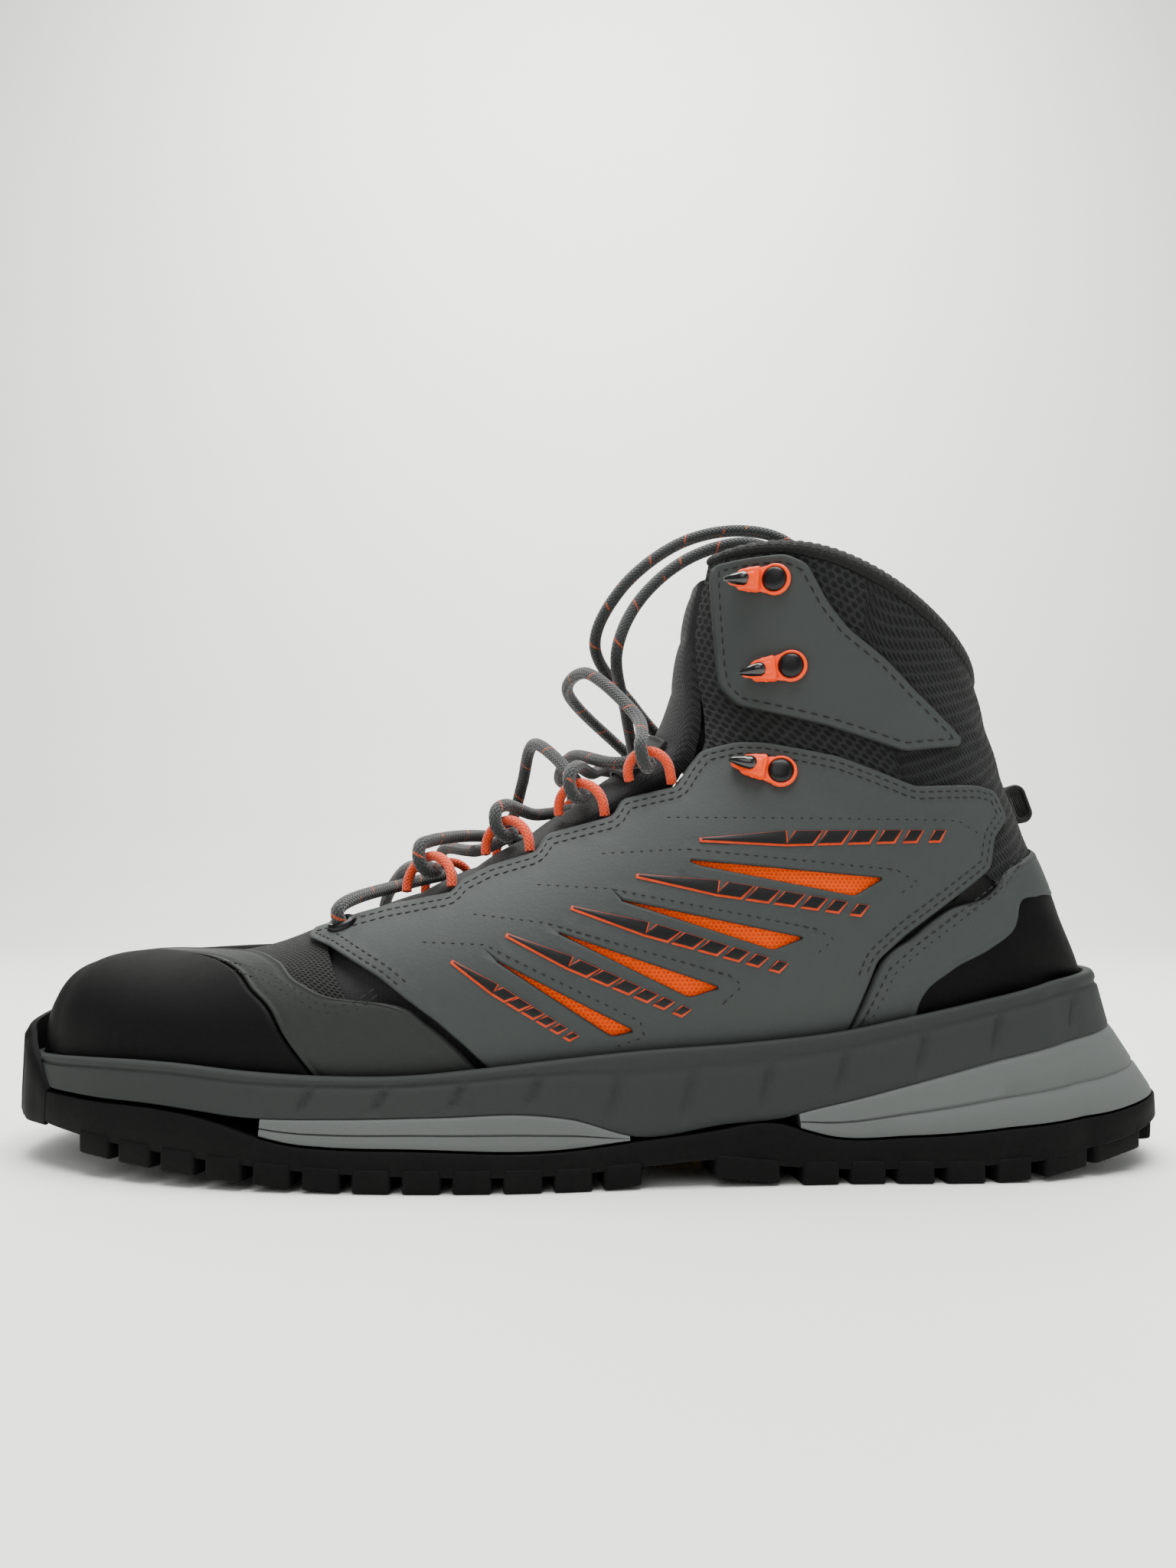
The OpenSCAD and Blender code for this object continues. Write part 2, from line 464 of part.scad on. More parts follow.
mesh_ribs = [[-27, 50.5, 8, 29.5], [-12, 60, 36, 40], [4, 69, 57, 52], [20, 78, 78, 71]];
panel_cols = 9;
eyelet_at = [-60.7, 58.6];
hooks = [[47, 144.2, 38.1, 145.3], [50.6, 122.2, 42.1, 121.3], [47.5, 95.7, 38.4, 97.6]];
function hook_origin(h, off, side) = on_layer([h[0], h[1]], off, side);
function hook_heading(h, side) = on_layer([h[2], h[3]], panel_out, side) - on_layer([h[0], h[1]], panel_out, side);
module at_hook(h, off, side) placed(hook_origin(h, off, side), hook_heading(h, side), normal_at(h, side)) children();
module bore(p, d, side)
    placed(on_layer(p, panel_out + lift, side), [1, 0, 0], normal_at(p, side))
        translate([0, 0, -6]) cylinder(h = 10, d = d, $fn = 32);
module quarter(side) difference() {
    ribbed(quarter_ribs, panel_cols, panel_out, skin_in, side);
    for (w = windows)
        translate([0, side * 25 * ky, 0]) rotate([90, 0, 0])
            linear_extrude(height = 60, center = true) polygon([for (p = w) [p[0] * kx, p[1] * kz]]);
    bore(hooks[2], shank_d + 0.4, side);
    bore(eyelet_at, lace_d + 1, side);
}
module quarter_lateral() color([0.4, 0.42, 0.42]) quarter(lateral);
module quarter_medial() color([0.4, 0.42, 0.42]) quarter(medial);
function refined(ribs, n) = [for (k = steps(n))
    let (s = k * (len(ribs) - 1), i = min(floor(s), len(ribs) - 2)) mix(ribs[i], ribs[i + 1], s - i)];
module window_mesh(side) ribbed(refined(mesh_ribs, 9), 9, mesh_out, mesh_in, side);
module window_mesh_lateral() color("orange") window_mesh(lateral);
module window_mesh_medial() color("orange") window_mesh(medial);

// Rows of small raised bars on the quarter: [x, z] of a row's ends and the height of its first bar
flash_rows = [[27.5, 79, 87.1, 79.9, 4.6], [12.1, 70.2, 67, 61.7, 4.6], [-3.4, 62.6, 46.9, 48.3, 4.2],
    [-18.5, 56.2, 23.7, 38.1, 3.8], [-30.9, 50.1, -2.5, 32.7, 3.2]];
flash_t = 0.3;
flash_ends = [0, 0.36, 0.39, 0.5, 0.53, 0.63, 0.66, 0.75, 0.78, 0.86, 0.88, 0.94, 0.96, 1];
module flash(row, s0, s1, side) {
    d = [row[2] - row[0], row[3] - row[1]];
    n = unit([-d[1], d[0]]);
    h = [row[4] * min(1, 0.3 + 3 * s0) * (1 - 0.6 * s0), row[4] * (1 - 0.6 * s1)];
    function edge(s, up) = [row[0] + d[0] * s, row[1] + d[1] * s] + n * up;
    ribs = [for (k = steps(2)) let (s = mix(s0, s1, k), w = mix(h[0], h[1], k), a = edge(s, w / 2), b = edge(s, -w / 2))
        [a[0], a[1], b[0], b[1]]];
    ribbed(ribs, 1, panel_out + 0.15 + flash_t, panel_out + 0.15, side);
}
module side_flashes(side)
    for (row = flash_rows, k = [0:6]) flash(row, flash_ends[2 * k], flash_ends[2 * k + 1], side);
module side_flashes_lateral() color([0.04, 0.04, 0.04]) side_flashes(lateral);
module side_flashes_medial() color([0.04, 0.04, 0.04]) side_flashes(medial);

panel_ribs = [[32.3, 151.5, 49.5, 150.6], [31.9, 147.8, 54.6, 147.7], [32.2, 138, 59.5, 138], [32.6, 130, 64.5, 131.3],
    [33, 123.4, 74, 123.4], [33.8, 118.3, 81, 116], [37.8, 113.3, 87, 110.5], [48, 110.2, 91, 106.8],
    [59.2, 107, 93.4, 104.3], [68, 103.9, 93.2, 103.5], [77.7, 100.6, 92.5, 102.4]];
module collar_panel(side) difference() {
    ribbed(panel_ribs, 7, panel_out, skin_in, side, down = true);
    for (k = [0, 1]) bore(hooks[k], shank_d + 0.4, side);
}
module collar_panel_lateral() color([0.42, 0.44, 0.44]) collar_panel(lateral);
module collar_panel_medial() color([0.42, 0.44, 0.44]) collar_panel(medial);

// The rim's binding: [offset, height above the rim] round its section
binding = [[0.2, 0.4], [0.2, 2], [-2, 3.6], [-5, 3.6], [-7.2, 2], [-7.2, 0.4]];
module collar_binding() color([0.1, 0.1, 0.1])
    loft([for (k = steps(34))
        let (v = 2 * k - 1, tau = to_edge(125, abs(v)))
        [for (p = binding) layer_point(rim_a(tau) + p[1], tau, p[0], v < 0 ? lateral : medial)]], caps = [true, true]);

// ---- Hooks and eyelets
plate_t = 0.9;
lift = 0.1;
tip_d = 2.4;
cowl_x = 3.7;
cowl_l = 3.4;
cowl_t = 1.9;
beak_x = 9.2;
head_t = 1.1;
module hook_plate() difference() {
    union() {
        hull() {
            cylinder(h = plate_t, d = hook_w, $fn = 32);
            translate([hook_l - (hook_w + tip_d) / 2, 0, 0]) cylinder(h = plate_t, d = tip_d, $fn = 24);
        }
        translate([cowl_x, -hook_w * 0.35, 0]) cube([cowl_l, hook_w * 0.7, plate_t + cowl_t]);
    }
    translate([0, 0, -1]) cylinder(h = 3, d = shank_d + 0.2, $fn = 24);
}
module hook_beak() translate([0, 0, plate_t + gap]) hull() {
    translate([beak_x, 0, 0]) cylinder(h = 2.2, d = 3.4, $fn = 24);
    translate([hook_l - hook_w / 2 - 1.4, 0, 0]) cylinder(h = 1.1, d = 1.8, $fn = 24);
}
module hook_rivet() {
    translate([0, 0, plate_t + 0.1]) cylinder(h = head_t, d = rivet_d, $fn = 32);
    translate([0, 0, -1.2]) cylinder(h = plate_t + 1.5, d = shank_d, $fn = 24);
}
module hook_plates() color("orange") for (side = both, h = hooks) at_hook(h, panel_out + lift, side) hook_plate();
module hook_beaks() color([0.05, 0.05, 0.05]) for (side = both, h = hooks) at_hook(h, panel_out + lift, side) hook_beak();
module hook_rivets() color([0.2, 0.2, 0.2]) for (side = both, h = hooks) at_hook(h, panel_out + lift, side) hook_rivet();
module eyelet(side)
    placed(on_layer(eyelet_at, panel_out + lift, side), [1, 0, 0], normal_at(eyelet_at, side))
        rotate_extrude($fn = 48) translate([lace_d / 2 + 0.45, 0]) square([1.6, 1.1]);
module eyelet_lateral() color([0.1, 0.1, 0.1]) eyelet(lateral);
module eyelet_medial() color([0.1, 0.1, 0.1]) eyelet(medial);

// ---- Lace loops: [x, z] where the two legs of each loop leave the upper, from the shin to the toe
loop_legs = [[[10.8, 93.2], [21, 94.7]], [[-7.3, 85.2], [4.1, 86.8]], [[-26.4, 75.3], [-14.8, 78]],
    [[-47, 66], [-34.4, 69]]];
loop_height = 9.4;
loop_base_off = 0.4;
function loop_foot(i, side) =
    (on_layer(loop_legs[i][0], loop_base_off, side) + on_layer(loop_legs[i][1], loop_base_off, side)) / 2;
function loop_x(i, side) = on_layer(loop_legs[i][1], loop_base_off, side) - on_layer(loop_legs[i][0], loop_base_off, side);
function loop_lean(i, side) =
    let (n = normal_at((loop_legs[i][0] + loop_legs[i][1]) / 2, side), t = unit(cross(loop_x(i, side), n)) * side)
    unit(t * 0.6 + n * 0.8);
function loop_r(i, side) = norm(loop_x(i, side)) / 2;
function loop_leg(i, side) = max(0.6, loop_height - loop_r(i, side) - loop_cord_d / 2);
function loop_across(i, side) = let (q = unit(cross(loop_x(i, side), loop_lean(i, side)))) q * (q[1] * side > 0 ? 1 : -1);
module lace_loop(i, side) placed(loop_foot(i, side), loop_x(i, side), loop_lean(i, side)) {
    for (end = both) translate([end * loop_r(i, side), 0, 0])
        cylinder(h = loop_leg(i, side), d = loop_cord_d, $fn = 24);
    translate([0, 0, loop_leg(i, side)]) rotate([90, 0, 0])
        rotate_extrude(angle = 180, $fn = 32) translate([loop_r(i, side), 0]) circle(d = loop_cord_d, $fn = 24);
}
module lace_loops_lateral() color("orangered") for (i = [0:3]) lace_loop(i, lateral);
module lace_loops_medial() color("orangered") for (i = [0:3]) lace_loop(i, medial);

// ---- Tongue
tongue_low = -6;
tongue_high = -1;
function tongue_share(a, v, narrow) = let (e = edge_share(a)) mix(1, e + narrow * (1 - e), 1 - cos(90 * v));
module tongue() color([0.08, 0.08, 0.09])
    skin(function (v, u) let (a = mix(-4, 129, u), narrow = mix(0.35, 0.65, clamp((a - 85) / 25, 0, 1)))
        [a, tongue_share(a, v, narrow)], 22, 12, tongue_high, tongue_low);
module tongue_facing() color([0.3, 0.31, 0.31])
    skin(function (v, u) let (a = mix(70, 84, u)) [a, tongue_share(a, v, 0.6)], 3, 10,
        tongue_high + gap + panel_t, tongue_high + gap);

// ---- Pull loop on the back of the heel
strap_share = 0.006;
strap_a = [106.8, 112.5];
module pull_anchor() color([0.1, 0.1, 0.1])
    skin(function (v, u) [mix(strap_a[0], strap_a[1], u), strap_share * v * v], 4, 6, panel_out, skin_in, flip = true);
pull_w = 12;
web_t = 1.2;
loop_long = 10;
loop_deep = 5.6;
hinge_a = 111.5;
function pull_origin() = let (p = layer_point(hinge_a, 0, panel_out + gap, medial)) [p[0], swing(100), p[2]];
function pull_up() = let (p = layer_point(hinge_a + 1, 0, 2, medial) - layer_point(hinge_a - 1, 0, 2, medial)) unit([p[0], 0, p[2]]);
module pull_loop() color([0.08, 0.08, 0.08])
    placed(pull_origin(), -pull_up(), [0, -1, 0]) translate([0, 0, -pull_w / 2]) linear_extrude(height = pull_w)
        difference() {
            pull_outline(0);
            pull_outline(web_t);
        }
module pull_outline(in) {
    r = loop_deep / 2 - in;
    hull() for (x = [-0.7 + loop_deep / 2 - web_t / 2, loop_long - loop_deep / 2 - 0.7])
        translate([x, loop_deep / 2]) circle(r = r, $fn = 32);
}

// ---- Lace, two ends of one cord. Each list of points is the middle of the cord
function eye(i, side) = loop_foot(i, side) + loop_lean(i, side) * (loop_leg(i, side) + loop_r(i, side));
wrap_r = (lace_d + loop_cord_d) / 2 + 1.1;
function round_loop(i, side) = [for (f = [-130, -90, -30, 30, 90])
    eye(i, side) + wrap_r * (loop_across(i, side) * cos(f) + loop_lean(i, side) * sin(f))];
function over_ridge(a, off) = layer_point(a, 1, off, medial);
function eyelet_points(side) =
    [for (h = [-1.8, 3.9]) on_layer(eyelet_at, panel_out + lift, side) + h * normal_at(eyelet_at, side)];
low_off = lace_d / 2 + 1;
high_off = low_off + lace_d + 0.8;
function scaled(points) = [for (p = points) [p[0] * kx, p[1] * ky, p[2] * kz]];
ring_first = [[-8, 18, 99], [-4.5, 0, 104], [6.6, -18, 100]];
ring_second = [[12.7, -20, 112], [-0.6, -3, 127], [-6, 12, 124.7], [7, 31.5, 113.5]];
strand_first = [[14, 20, 121], [2, 8, 137], [9, 3, 152], [26.5, 3, 166], [44, 3, 169.6], [57, 3, 166],
    [62, 3, 156], [62, 3, 147.5]];
path_lateral = concat(eyelet_points(lateral), [over_ridge(10, low_off)], round_loop(3, medial),
    [over_ridge(29, low_off)], round_loop(2, lateral), [over_ridge(47, low_off)], round_loop(1, medial),
    scaled(ring_first), round_loop(0, lateral), scaled(ring_second),
    [on_layer([32.4, 93.5], 4.2, medial), on_layer([33.6, 98], 4, medial), on_layer([31.4, 102], 4.4, medial)],
    scaled(strand_first));
ring_third = [[-19, 14, 98], [-15, 0, 107.5]];
ring_fourth = [[1, -3, 99], [5, 13, 101.5]];
strand_second = [[11, 12, 118], [8, -3, 133], [14, -3.5, 147], [28, -3, 159.5], [44, -3, 164], [54, -3, 160.5],
    [58, -3, 153], [58, -3, 147.5]];
path_medial = concat(eyelet_points(medial), [over_ridge(10, high_off)], round_loop(3, lateral),
    [over_ridge(29, high_off)], round_loop(2, medial), scaled(ring_third), round_loop(1, lateral),
    scaled(ring_fourth), round_loop(0, medial), scaled(strand_second));
module lace_lateral() color([0.15, 0.16, 0.16]) tube(path_lateral, lace_d);
module lace_medial() color([0.15, 0.16, 0.16]) tube(path_medial, lace_d);

// The rest of the lace hangs in the shaft as a hank
hank_at = [60, 0, 121];
hank_r = 16.5;
hank_cord = 9;
module hank_ring() rotate([90, 0, 90]) scale([0.85, 1.2, 1]) rotate_extrude($fn = 48)
    translate([hank_r, 0]) circle(d = hank_cord, $fn = 24);
module lace_hank() color([0.15, 0.16, 0.16]) translate([hank_at[0] * kx, 0, hank_at[2] * kz]) hank_ring();
aglet_l = 15;
hank_low = 1.2 * (hank_r + hank_cord / 2) + gap;
aglet_d = 3.4;
module aglets() color([0.05, 0.05, 0.05])
    for (side = both) translate([hank_at[0] * kx, side * 5, hank_at[2] * kz - hank_low - aglet_l])
        cylinder(h = aglet_l, d = aglet_d, $fn = 24);

outsole();
arch_inlay();
midsole_upper();
midsole_forefoot();
midsole_heel();
shank_plate();
insole_board();
footbed();
lining();
ankle_foam();
toe_puff();
heel_counter();
vamp_mesh();
collar_mesh();
toe_cap();
toe_overlay();
quarter_lateral();
quarter_medial();
window_mesh_lateral();
window_mesh_medial();
side_flashes_lateral();
side_flashes_medial();
heel_overlay();
heel_patch();
collar_panel_lateral();
collar_panel_medial();
collar_binding();
eyelet_lateral();
eyelet_medial();
hook_plates();
hook_beaks();
hook_rivets();
lace_loops_lateral();
lace_loops_medial();
tongue();
tongue_facing();
pull_anchor();
pull_loop();
lace_lateral();
lace_medial();
lace_hank();
aglets();
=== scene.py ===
import math
import bmesh
import bpy
import numpy as np
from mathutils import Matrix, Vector
from mathutils.geometry import delaunay_2d_cdt


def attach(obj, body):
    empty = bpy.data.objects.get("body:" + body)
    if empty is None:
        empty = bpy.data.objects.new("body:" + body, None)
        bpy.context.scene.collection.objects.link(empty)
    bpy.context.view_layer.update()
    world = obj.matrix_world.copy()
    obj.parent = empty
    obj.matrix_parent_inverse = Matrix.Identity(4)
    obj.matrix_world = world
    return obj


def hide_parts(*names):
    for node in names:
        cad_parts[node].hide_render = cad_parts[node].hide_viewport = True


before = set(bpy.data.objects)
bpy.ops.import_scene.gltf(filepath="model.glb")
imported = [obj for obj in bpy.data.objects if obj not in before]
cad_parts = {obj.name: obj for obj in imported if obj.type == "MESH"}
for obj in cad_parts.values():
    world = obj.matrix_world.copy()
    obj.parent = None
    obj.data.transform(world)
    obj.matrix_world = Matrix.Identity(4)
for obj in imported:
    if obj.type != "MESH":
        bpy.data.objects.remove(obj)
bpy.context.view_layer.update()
lateral, medial = -1.0, 1.0
bothSides = [("lateral", lateral), ("medial", medial)]

# Camera and stage
cameraPlace = {"x": 0.0, "y": -0.312, "z": 0.0636, "tiltUp": 6.0, "lens": 26.0}
cam = bpy.data.objects.new("camera", bpy.data.cameras.new("camera"))
bpy.context.scene.collection.objects.link(cam)
cam.location = (cameraPlace["x"], cameraPlace["y"], cameraPlace["z"])
cam.rotation_euler = (math.radians(90 + cameraPlace["tiltUp"]), 0, 0)
cam.data.lens = cameraPlace["lens"]
cam.data.sensor_width = 36
cam.data.clip_start = 0.01
bpy.context.scene.camera = cam


def areaLight(name, place, aim, size, power, colour):
    # a square soft light that looks from its place to its aim
    data = bpy.data.lights.new(name, "AREA")
    data.size, data.energy, data.color = size, power, colour
    lamp = bpy.data.objects.new(name, data)
    bpy.context.scene.collection.objects.link(lamp)
    lamp.location = place
    lamp.rotation_euler = (Vector(aim) - Vector(place)).to_track_quat("-Z", "Y").to_euler()


lights = {"key": 5.0, "fill": 2.0, "top": 24.0, "wall": 75.0, "sky": 0.3}
areaLight("key_light", (-0.5, -1.1, 0.9), (0, 0, 0.06), 0.9, lights["key"], (1, 0.99, 0.97))
areaLight("fill_light", (0.9, -0.9, 0.35), (0, 0, 0.08), 0.8, lights["fill"], (0.96, 0.98, 1))
areaLight("top_light", (0.05, -0.3, 1.3), (0, 0, 0.1), 0.8, lights["top"], (1, 1, 1))
areaLight("wall_light", (0, 0.55, 1.7), (0, 1.7, 0.35), 1.6, lights["wall"], (1, 1, 0.97))
world = bpy.data.worlds.new("soft_room")
bpy.context.scene.world = world
world.use_nodes = True
world.node_tree.nodes["Background"].inputs["Color"].default_value = (0.86, 0.88, 0.87, 1)
world.node_tree.nodes["Background"].inputs["Strength"].default_value = lights["sky"]
print("camera and lights ready")


# Node groups: each gives masks, heights or colours to several materials
def newGroup(name, inputs, outputs):
    group = bpy.data.node_groups.new(name, "ShaderNodeTree")
    for socketName, kind, value in inputs:
        socket = group.interface.new_socket(socketName, in_out="INPUT", socket_type="NodeSocket" + kind)
        if value is not None:
            socket.default_value = value
    for socketName, kind in outputs:
        group.interface.new_socket(socketName, in_out="OUTPUT", socket_type="NodeSocket" + kind)
    return group, group.nodes.new("NodeGroupInput"), group.nodes.new("NodeGroupOutput")


def mathNode(tree, operation, first, second=None, third=None):
    # one Math node; an input is a number or another node's output
    node = tree.nodes.new("ShaderNodeMath")
    node.operation = operation
    for i, value in enumerate((first, second, third)):
        if value is None:
            continue
        if isinstance(value, (int, float)):
            node.inputs[i].default_value = value
        else:
            tree.links.new(value, node.inputs[i])
    return node.outputs[0]


def splitVector(tree, vector):
    node = tree.nodes.new("ShaderNodeSeparateXYZ")
    tree.links.new(vector, node.inputs[0])
    return node.outputs[0], node.outputs[1], node.outputs[2]


def noiseNode(tree, vector, scale, detail=2.0):
    node = tree.nodes.new("ShaderNodeTexNoise")
    node.inputs["Detail"].default_value = detail
    if isinstance(scale, (int, float)):
        node.inputs["Scale"].default_value = scale
    else:
        tree.links.new(scale, node.inputs["Scale"])
    if vector is not None:
        tree.links.new(vector, node.inputs["Vector"])
    return node.outputs[0]


def weaveGroup():
    # over and under threads: height = |sin u| where the cell is odd and |sin v| where it is even
    group, inside, outside = newGroup("thread_weave", [("Vector", "Vector", None), ("Across", "Float", 1.0),
        ("Along", "Float", 1.0)], [("Height", "Float")])
    u, v, _ = splitVector(group, inside.outputs[0])
    u = mathNode(group, "MULTIPLY", u, inside.outputs[1])
    v = mathNode(group, "MULTIPLY", v, inside.outputs[2])
    cell = mathNode(group, "ADD", mathNode(group, "FLOOR", u), mathNode(group, "FLOOR", v))
    odd = mathNode(group, "MULTIPLY", mathNode(group, "FRACT", mathNode(group, "MULTIPLY", cell, 0.5)), 2.0)
    sinU = mathNode(group, "ABSOLUTE", mathNode(group, "SINE", mathNode(group, "MULTIPLY", u, math.pi)))
    sinV = mathNode(group, "ABSOLUTE", mathNode(group, "SINE", mathNode(group, "MULTIPLY", v, math.pi)))
    top = mathNode(group, "ADD", mathNode(group, "MULTIPLY", odd, sinU),
                   mathNode(group, "MULTIPLY", mathNode(group, "SUBTRACT", 1.0, odd), sinV))
    both = mathNode(group, "MULTIPLY", sinU, sinV)
    height = mathNode(group, "MULTIPLY", mathNode(group, "ADD", top, both), 0.5)
    group.links.new(height, outside.inputs[0])
    return group


def hexGroup():
    # distance to the nearest centre of a honeycomb, from two offset rectangular grids
    group, inside, outside = newGroup("honeycomb", [("Vector", "Vector", None), ("Size", "Float", 1.0)],
                                      [("Hole", "Float"), ("Height", "Float")])
    u, v, _ = splitVector(group, inside.outputs[0])
    u = mathNode(group, "DIVIDE", u, inside.outputs[1])
    v = mathNode(group, "DIVIDE", v, mathNode(group, "MULTIPLY", inside.outputs[1], 1.732))
    near = []
    for shift in (0.0, 0.5):
        cu = mathNode(group, "SUBTRACT", mathNode(group, "FRACT", mathNode(group, "ADD", u, shift)), 0.5)
        cv = mathNode(group, "MULTIPLY", mathNode(group, "SUBTRACT",
                      mathNode(group, "FRACT", mathNode(group, "ADD", v, shift)), 0.5), 1.732)
        near.append(mathNode(group, "SQRT", mathNode(group, "ADD", mathNode(group, "MULTIPLY", cu, cu),
                                                     mathNode(group, "MULTIPLY", cv, cv))))
    distance = mathNode(group, "MINIMUM", near[0], near[1])
    ramp = group.nodes.new("ShaderNodeMapRange")
    ramp.inputs["From Min"].default_value = 0.26
    ramp.inputs["From Max"].default_value = 0.42
    ramp.inputs["To Min"].default_value = 1.0
    ramp.inputs["To Max"].default_value = 0.0
    group.links.new(distance, ramp.inputs["Value"])
    group.links.new(ramp.outputs[0], outside.inputs[0])
    group.links.new(mathNode(group, "SUBTRACT", 1.0, ramp.outputs[0]), outside.inputs[1])
    return group


def grainGroup():
    # pebbled grain: small cells of a Voronoi texture broken up by noise, in the object's own coordinates
    group, inside, outside = newGroup("pebble_grain", [("Scale", "Float", 900.0)],
                                      [("Height", "Float"), ("Blotch", "Float")])
    place = group.nodes.new("ShaderNodeTexCoord").outputs["Object"]
    cells = group.nodes.new("ShaderNodeTexVoronoi")
    group.links.new(place, cells.inputs["Vector"])
    group.links.new(inside.outputs[0], cells.inputs["Scale"])
    fine = noiseNode(group, place, mathNode(group, "MULTIPLY", inside.outputs[0], 2.0), 3.0)
    height = mathNode(group, "ADD", mathNode(group, "MULTIPLY", cells.outputs["Distance"], 0.7),
                      mathNode(group, "MULTIPLY", fine, 0.5))
    group.links.new(height, outside.inputs[0])
    group.links.new(noiseNode(group, place, 35.0, 4.0), outside.inputs[1])
    return group


def dustGroup():
    # dust: noise, thicker towards the ground
    group, inside, outside = newGroup("settled_dust", [("Amount", "Float", 0.3), ("Top", "Float", 0.06)],
                                      [("Mask", "Float")])
    place = group.nodes.new("ShaderNodeTexCoord").outputs["Object"]
    _, _, z = splitVector(group, place)
    low = mathNode(group, "SUBTRACT", 1.0, mathNode(group, "DIVIDE", z, inside.outputs[1]))
    low = mathNode(group, "MAXIMUM", low, 0.12)
    coarse, fine = noiseNode(group, place, 60.0, 6.0), noiseNode(group, place, 700.0, 3.0)
    mask = mathNode(group, "MULTIPLY", mathNode(group, "MULTIPLY", coarse, fine), low)
    mask = mathNode(group, "MULTIPLY", mathNode(group, "MULTIPLY", mask, inside.outputs[0]), 3.0)
    group.links.new(mathNode(group, "MINIMUM", mask, 1.0), outside.inputs[0])
    return group


def edgeGroup():
    # wear: 1 at a panel's cut edge and 0 from Width in, from the piece's own edge attribute in millimetres
    group, inside, outside = newGroup("edge_wear", [("Width", "Float", 0.8)], [("Mask", "Float")])
    edge = group.nodes.new("ShaderNodeAttribute")
    edge.attribute_name = "edge"
    near = mathNode(group, "SUBTRACT", 1.0, mathNode(group, "DIVIDE", edge.outputs["Fac"], inside.outputs[0]))
    place = group.nodes.new("ShaderNodeTexCoord").outputs["Object"]
    broken = mathNode(group, "ADD", noiseNode(group, place, 400.0, 3.0), 0.35)
    mask = mathNode(group, "MULTIPLY", mathNode(group, "MAXIMUM", near, 0.0), broken)
    group.links.new(mathNode(group, "MINIMUM", mask, 1.0), outside.inputs[0])
    return group


groups = {"weave": weaveGroup(), "honeycomb": hexGroup(), "grain": grainGroup(), "dust": dustGroup(),
          "wear": edgeGroup()}


class Finish:
    # one material: a Principled shader whose colour, roughness and bump are laid up in steps
    def __init__(self, name, colour, roughness, metallic=0.0, sheen=0.0, coat=0.0, specular=0.5):
        self.material = bpy.data.materials.new(name)
        self.material.use_nodes = True
        self.tree = self.material.node_tree
        self.shader = self.tree.nodes["Principled BSDF"]
        self.shader.inputs["Roughness"].default_value = roughness
        self.shader.inputs["Metallic"].default_value = metallic
        self.shader.inputs["Sheen Weight"].default_value = sheen
        self.shader.inputs["Coat Weight"].default_value = coat
        self.shader.inputs["Specular IOR Level"].default_value = specular
        self.shader.inputs["Base Color"].default_value = (*colour, 1)
        self.material.diffuse_color = (*colour, 1)
        self.colour = (*colour, 1)
        self.normal = None

    def group(self, key, **values):
        node = self.tree.nodes.new("ShaderNodeGroup")
        node.node_tree = groups[key]
        for socket, value in values.items():
            if isinstance(value, (int, float)):
                node.inputs[socket].default_value = value
            else:
                self.tree.links.new(value, node.inputs[socket])
        return node.outputs

    def cloth(self, angle=0.0):
        # the piece's own cloth coordinates in millimetres, turned by angle
        uv = self.tree.nodes.new("ShaderNodeUVMap")
        uv.uv_map = "cloth"
        turn = self.tree.nodes.new("ShaderNodeMapping")
        turn.inputs["Rotation"].default_value = (0, 0, math.radians(angle))
        self.tree.links.new(uv.outputs[0], turn.inputs["Vector"])
        return turn.outputs[0]

    def object(self):
        return self.tree.nodes.new("ShaderNodeTexCoord").outputs["Object"]

    def tint(self, mask, colour, amount=1.0):
        # colour = mix(colour so far, new colour, mask * amount)
        blend = self.tree.nodes.new("ShaderNodeMix")
        blend.data_type = "RGBA"
        share = mathNode(self.tree, "MULTIPLY", mask, amount)
        share = mathNode(self.tree, "MINIMUM", mathNode(self.tree, "MAXIMUM", share, 0.0), 1.0)
        self.tree.links.new(share, blend.inputs["Factor"])
        if isinstance(self.colour, tuple):
            blend.inputs[6].default_value = self.colour
        else:
            self.tree.links.new(self.colour, blend.inputs[6])
        blend.inputs[7].default_value = (*colour, 1)
        self.colour = blend.outputs[2]
        self.tree.links.new(self.colour, self.shader.inputs["Base Color"])
        return self

    def rough(self, mask, least, most):
        ramp = self.tree.nodes.new("ShaderNodeMapRange")
        ramp.inputs["To Min"].default_value = least
        ramp.inputs["To Max"].default_value = most
        self.tree.links.new(mask, ramp.inputs["Value"])
        self.tree.links.new(ramp.outputs[0], self.shader.inputs["Roughness"])
        return self

    def bump(self, height, distance):
        # distance in millimetres; bumps are laid one over another
        node = self.tree.nodes.new("ShaderNodeBump")
        node.inputs["Distance"].default_value = distance * 0.001
        self.tree.links.new(height, node.inputs["Height"])
        if self.normal is not None:
            self.tree.links.new(self.normal, node.inputs["Normal"])
        self.normal = node.outputs[0]
        self.tree.links.new(self.normal, self.shader.inputs["Normal"])
        return self


dustColour = (0.2, 0.19, 0.17)


def leatherFinish(name, colour, roughness=0.62, bump=0.05, dust=0.04, specular=0.28):
    # coated leather: pebbled grain, lighter blotches, a darker cut edge and a little dust
    finish = Finish(name, colour, roughness, specular=specular)
    pebble = finish.group("grain", Scale=1300.0)
    finish.tint(pebble[1], tuple(min(1, c * 1.35 + 0.001) for c in colour), 0.5)
    finish.tint(finish.group("wear", Width=0.7)[0], tuple(c * 0.35 for c in colour), 0.8)
    finish.tint(finish.group("dust", Amount=dust, Top=0.07)[0], dustColour, 0.5)
    finish.rough(pebble[1], roughness - 0.12, roughness + 0.12)
    return finish.bump(pebble[0], bump)


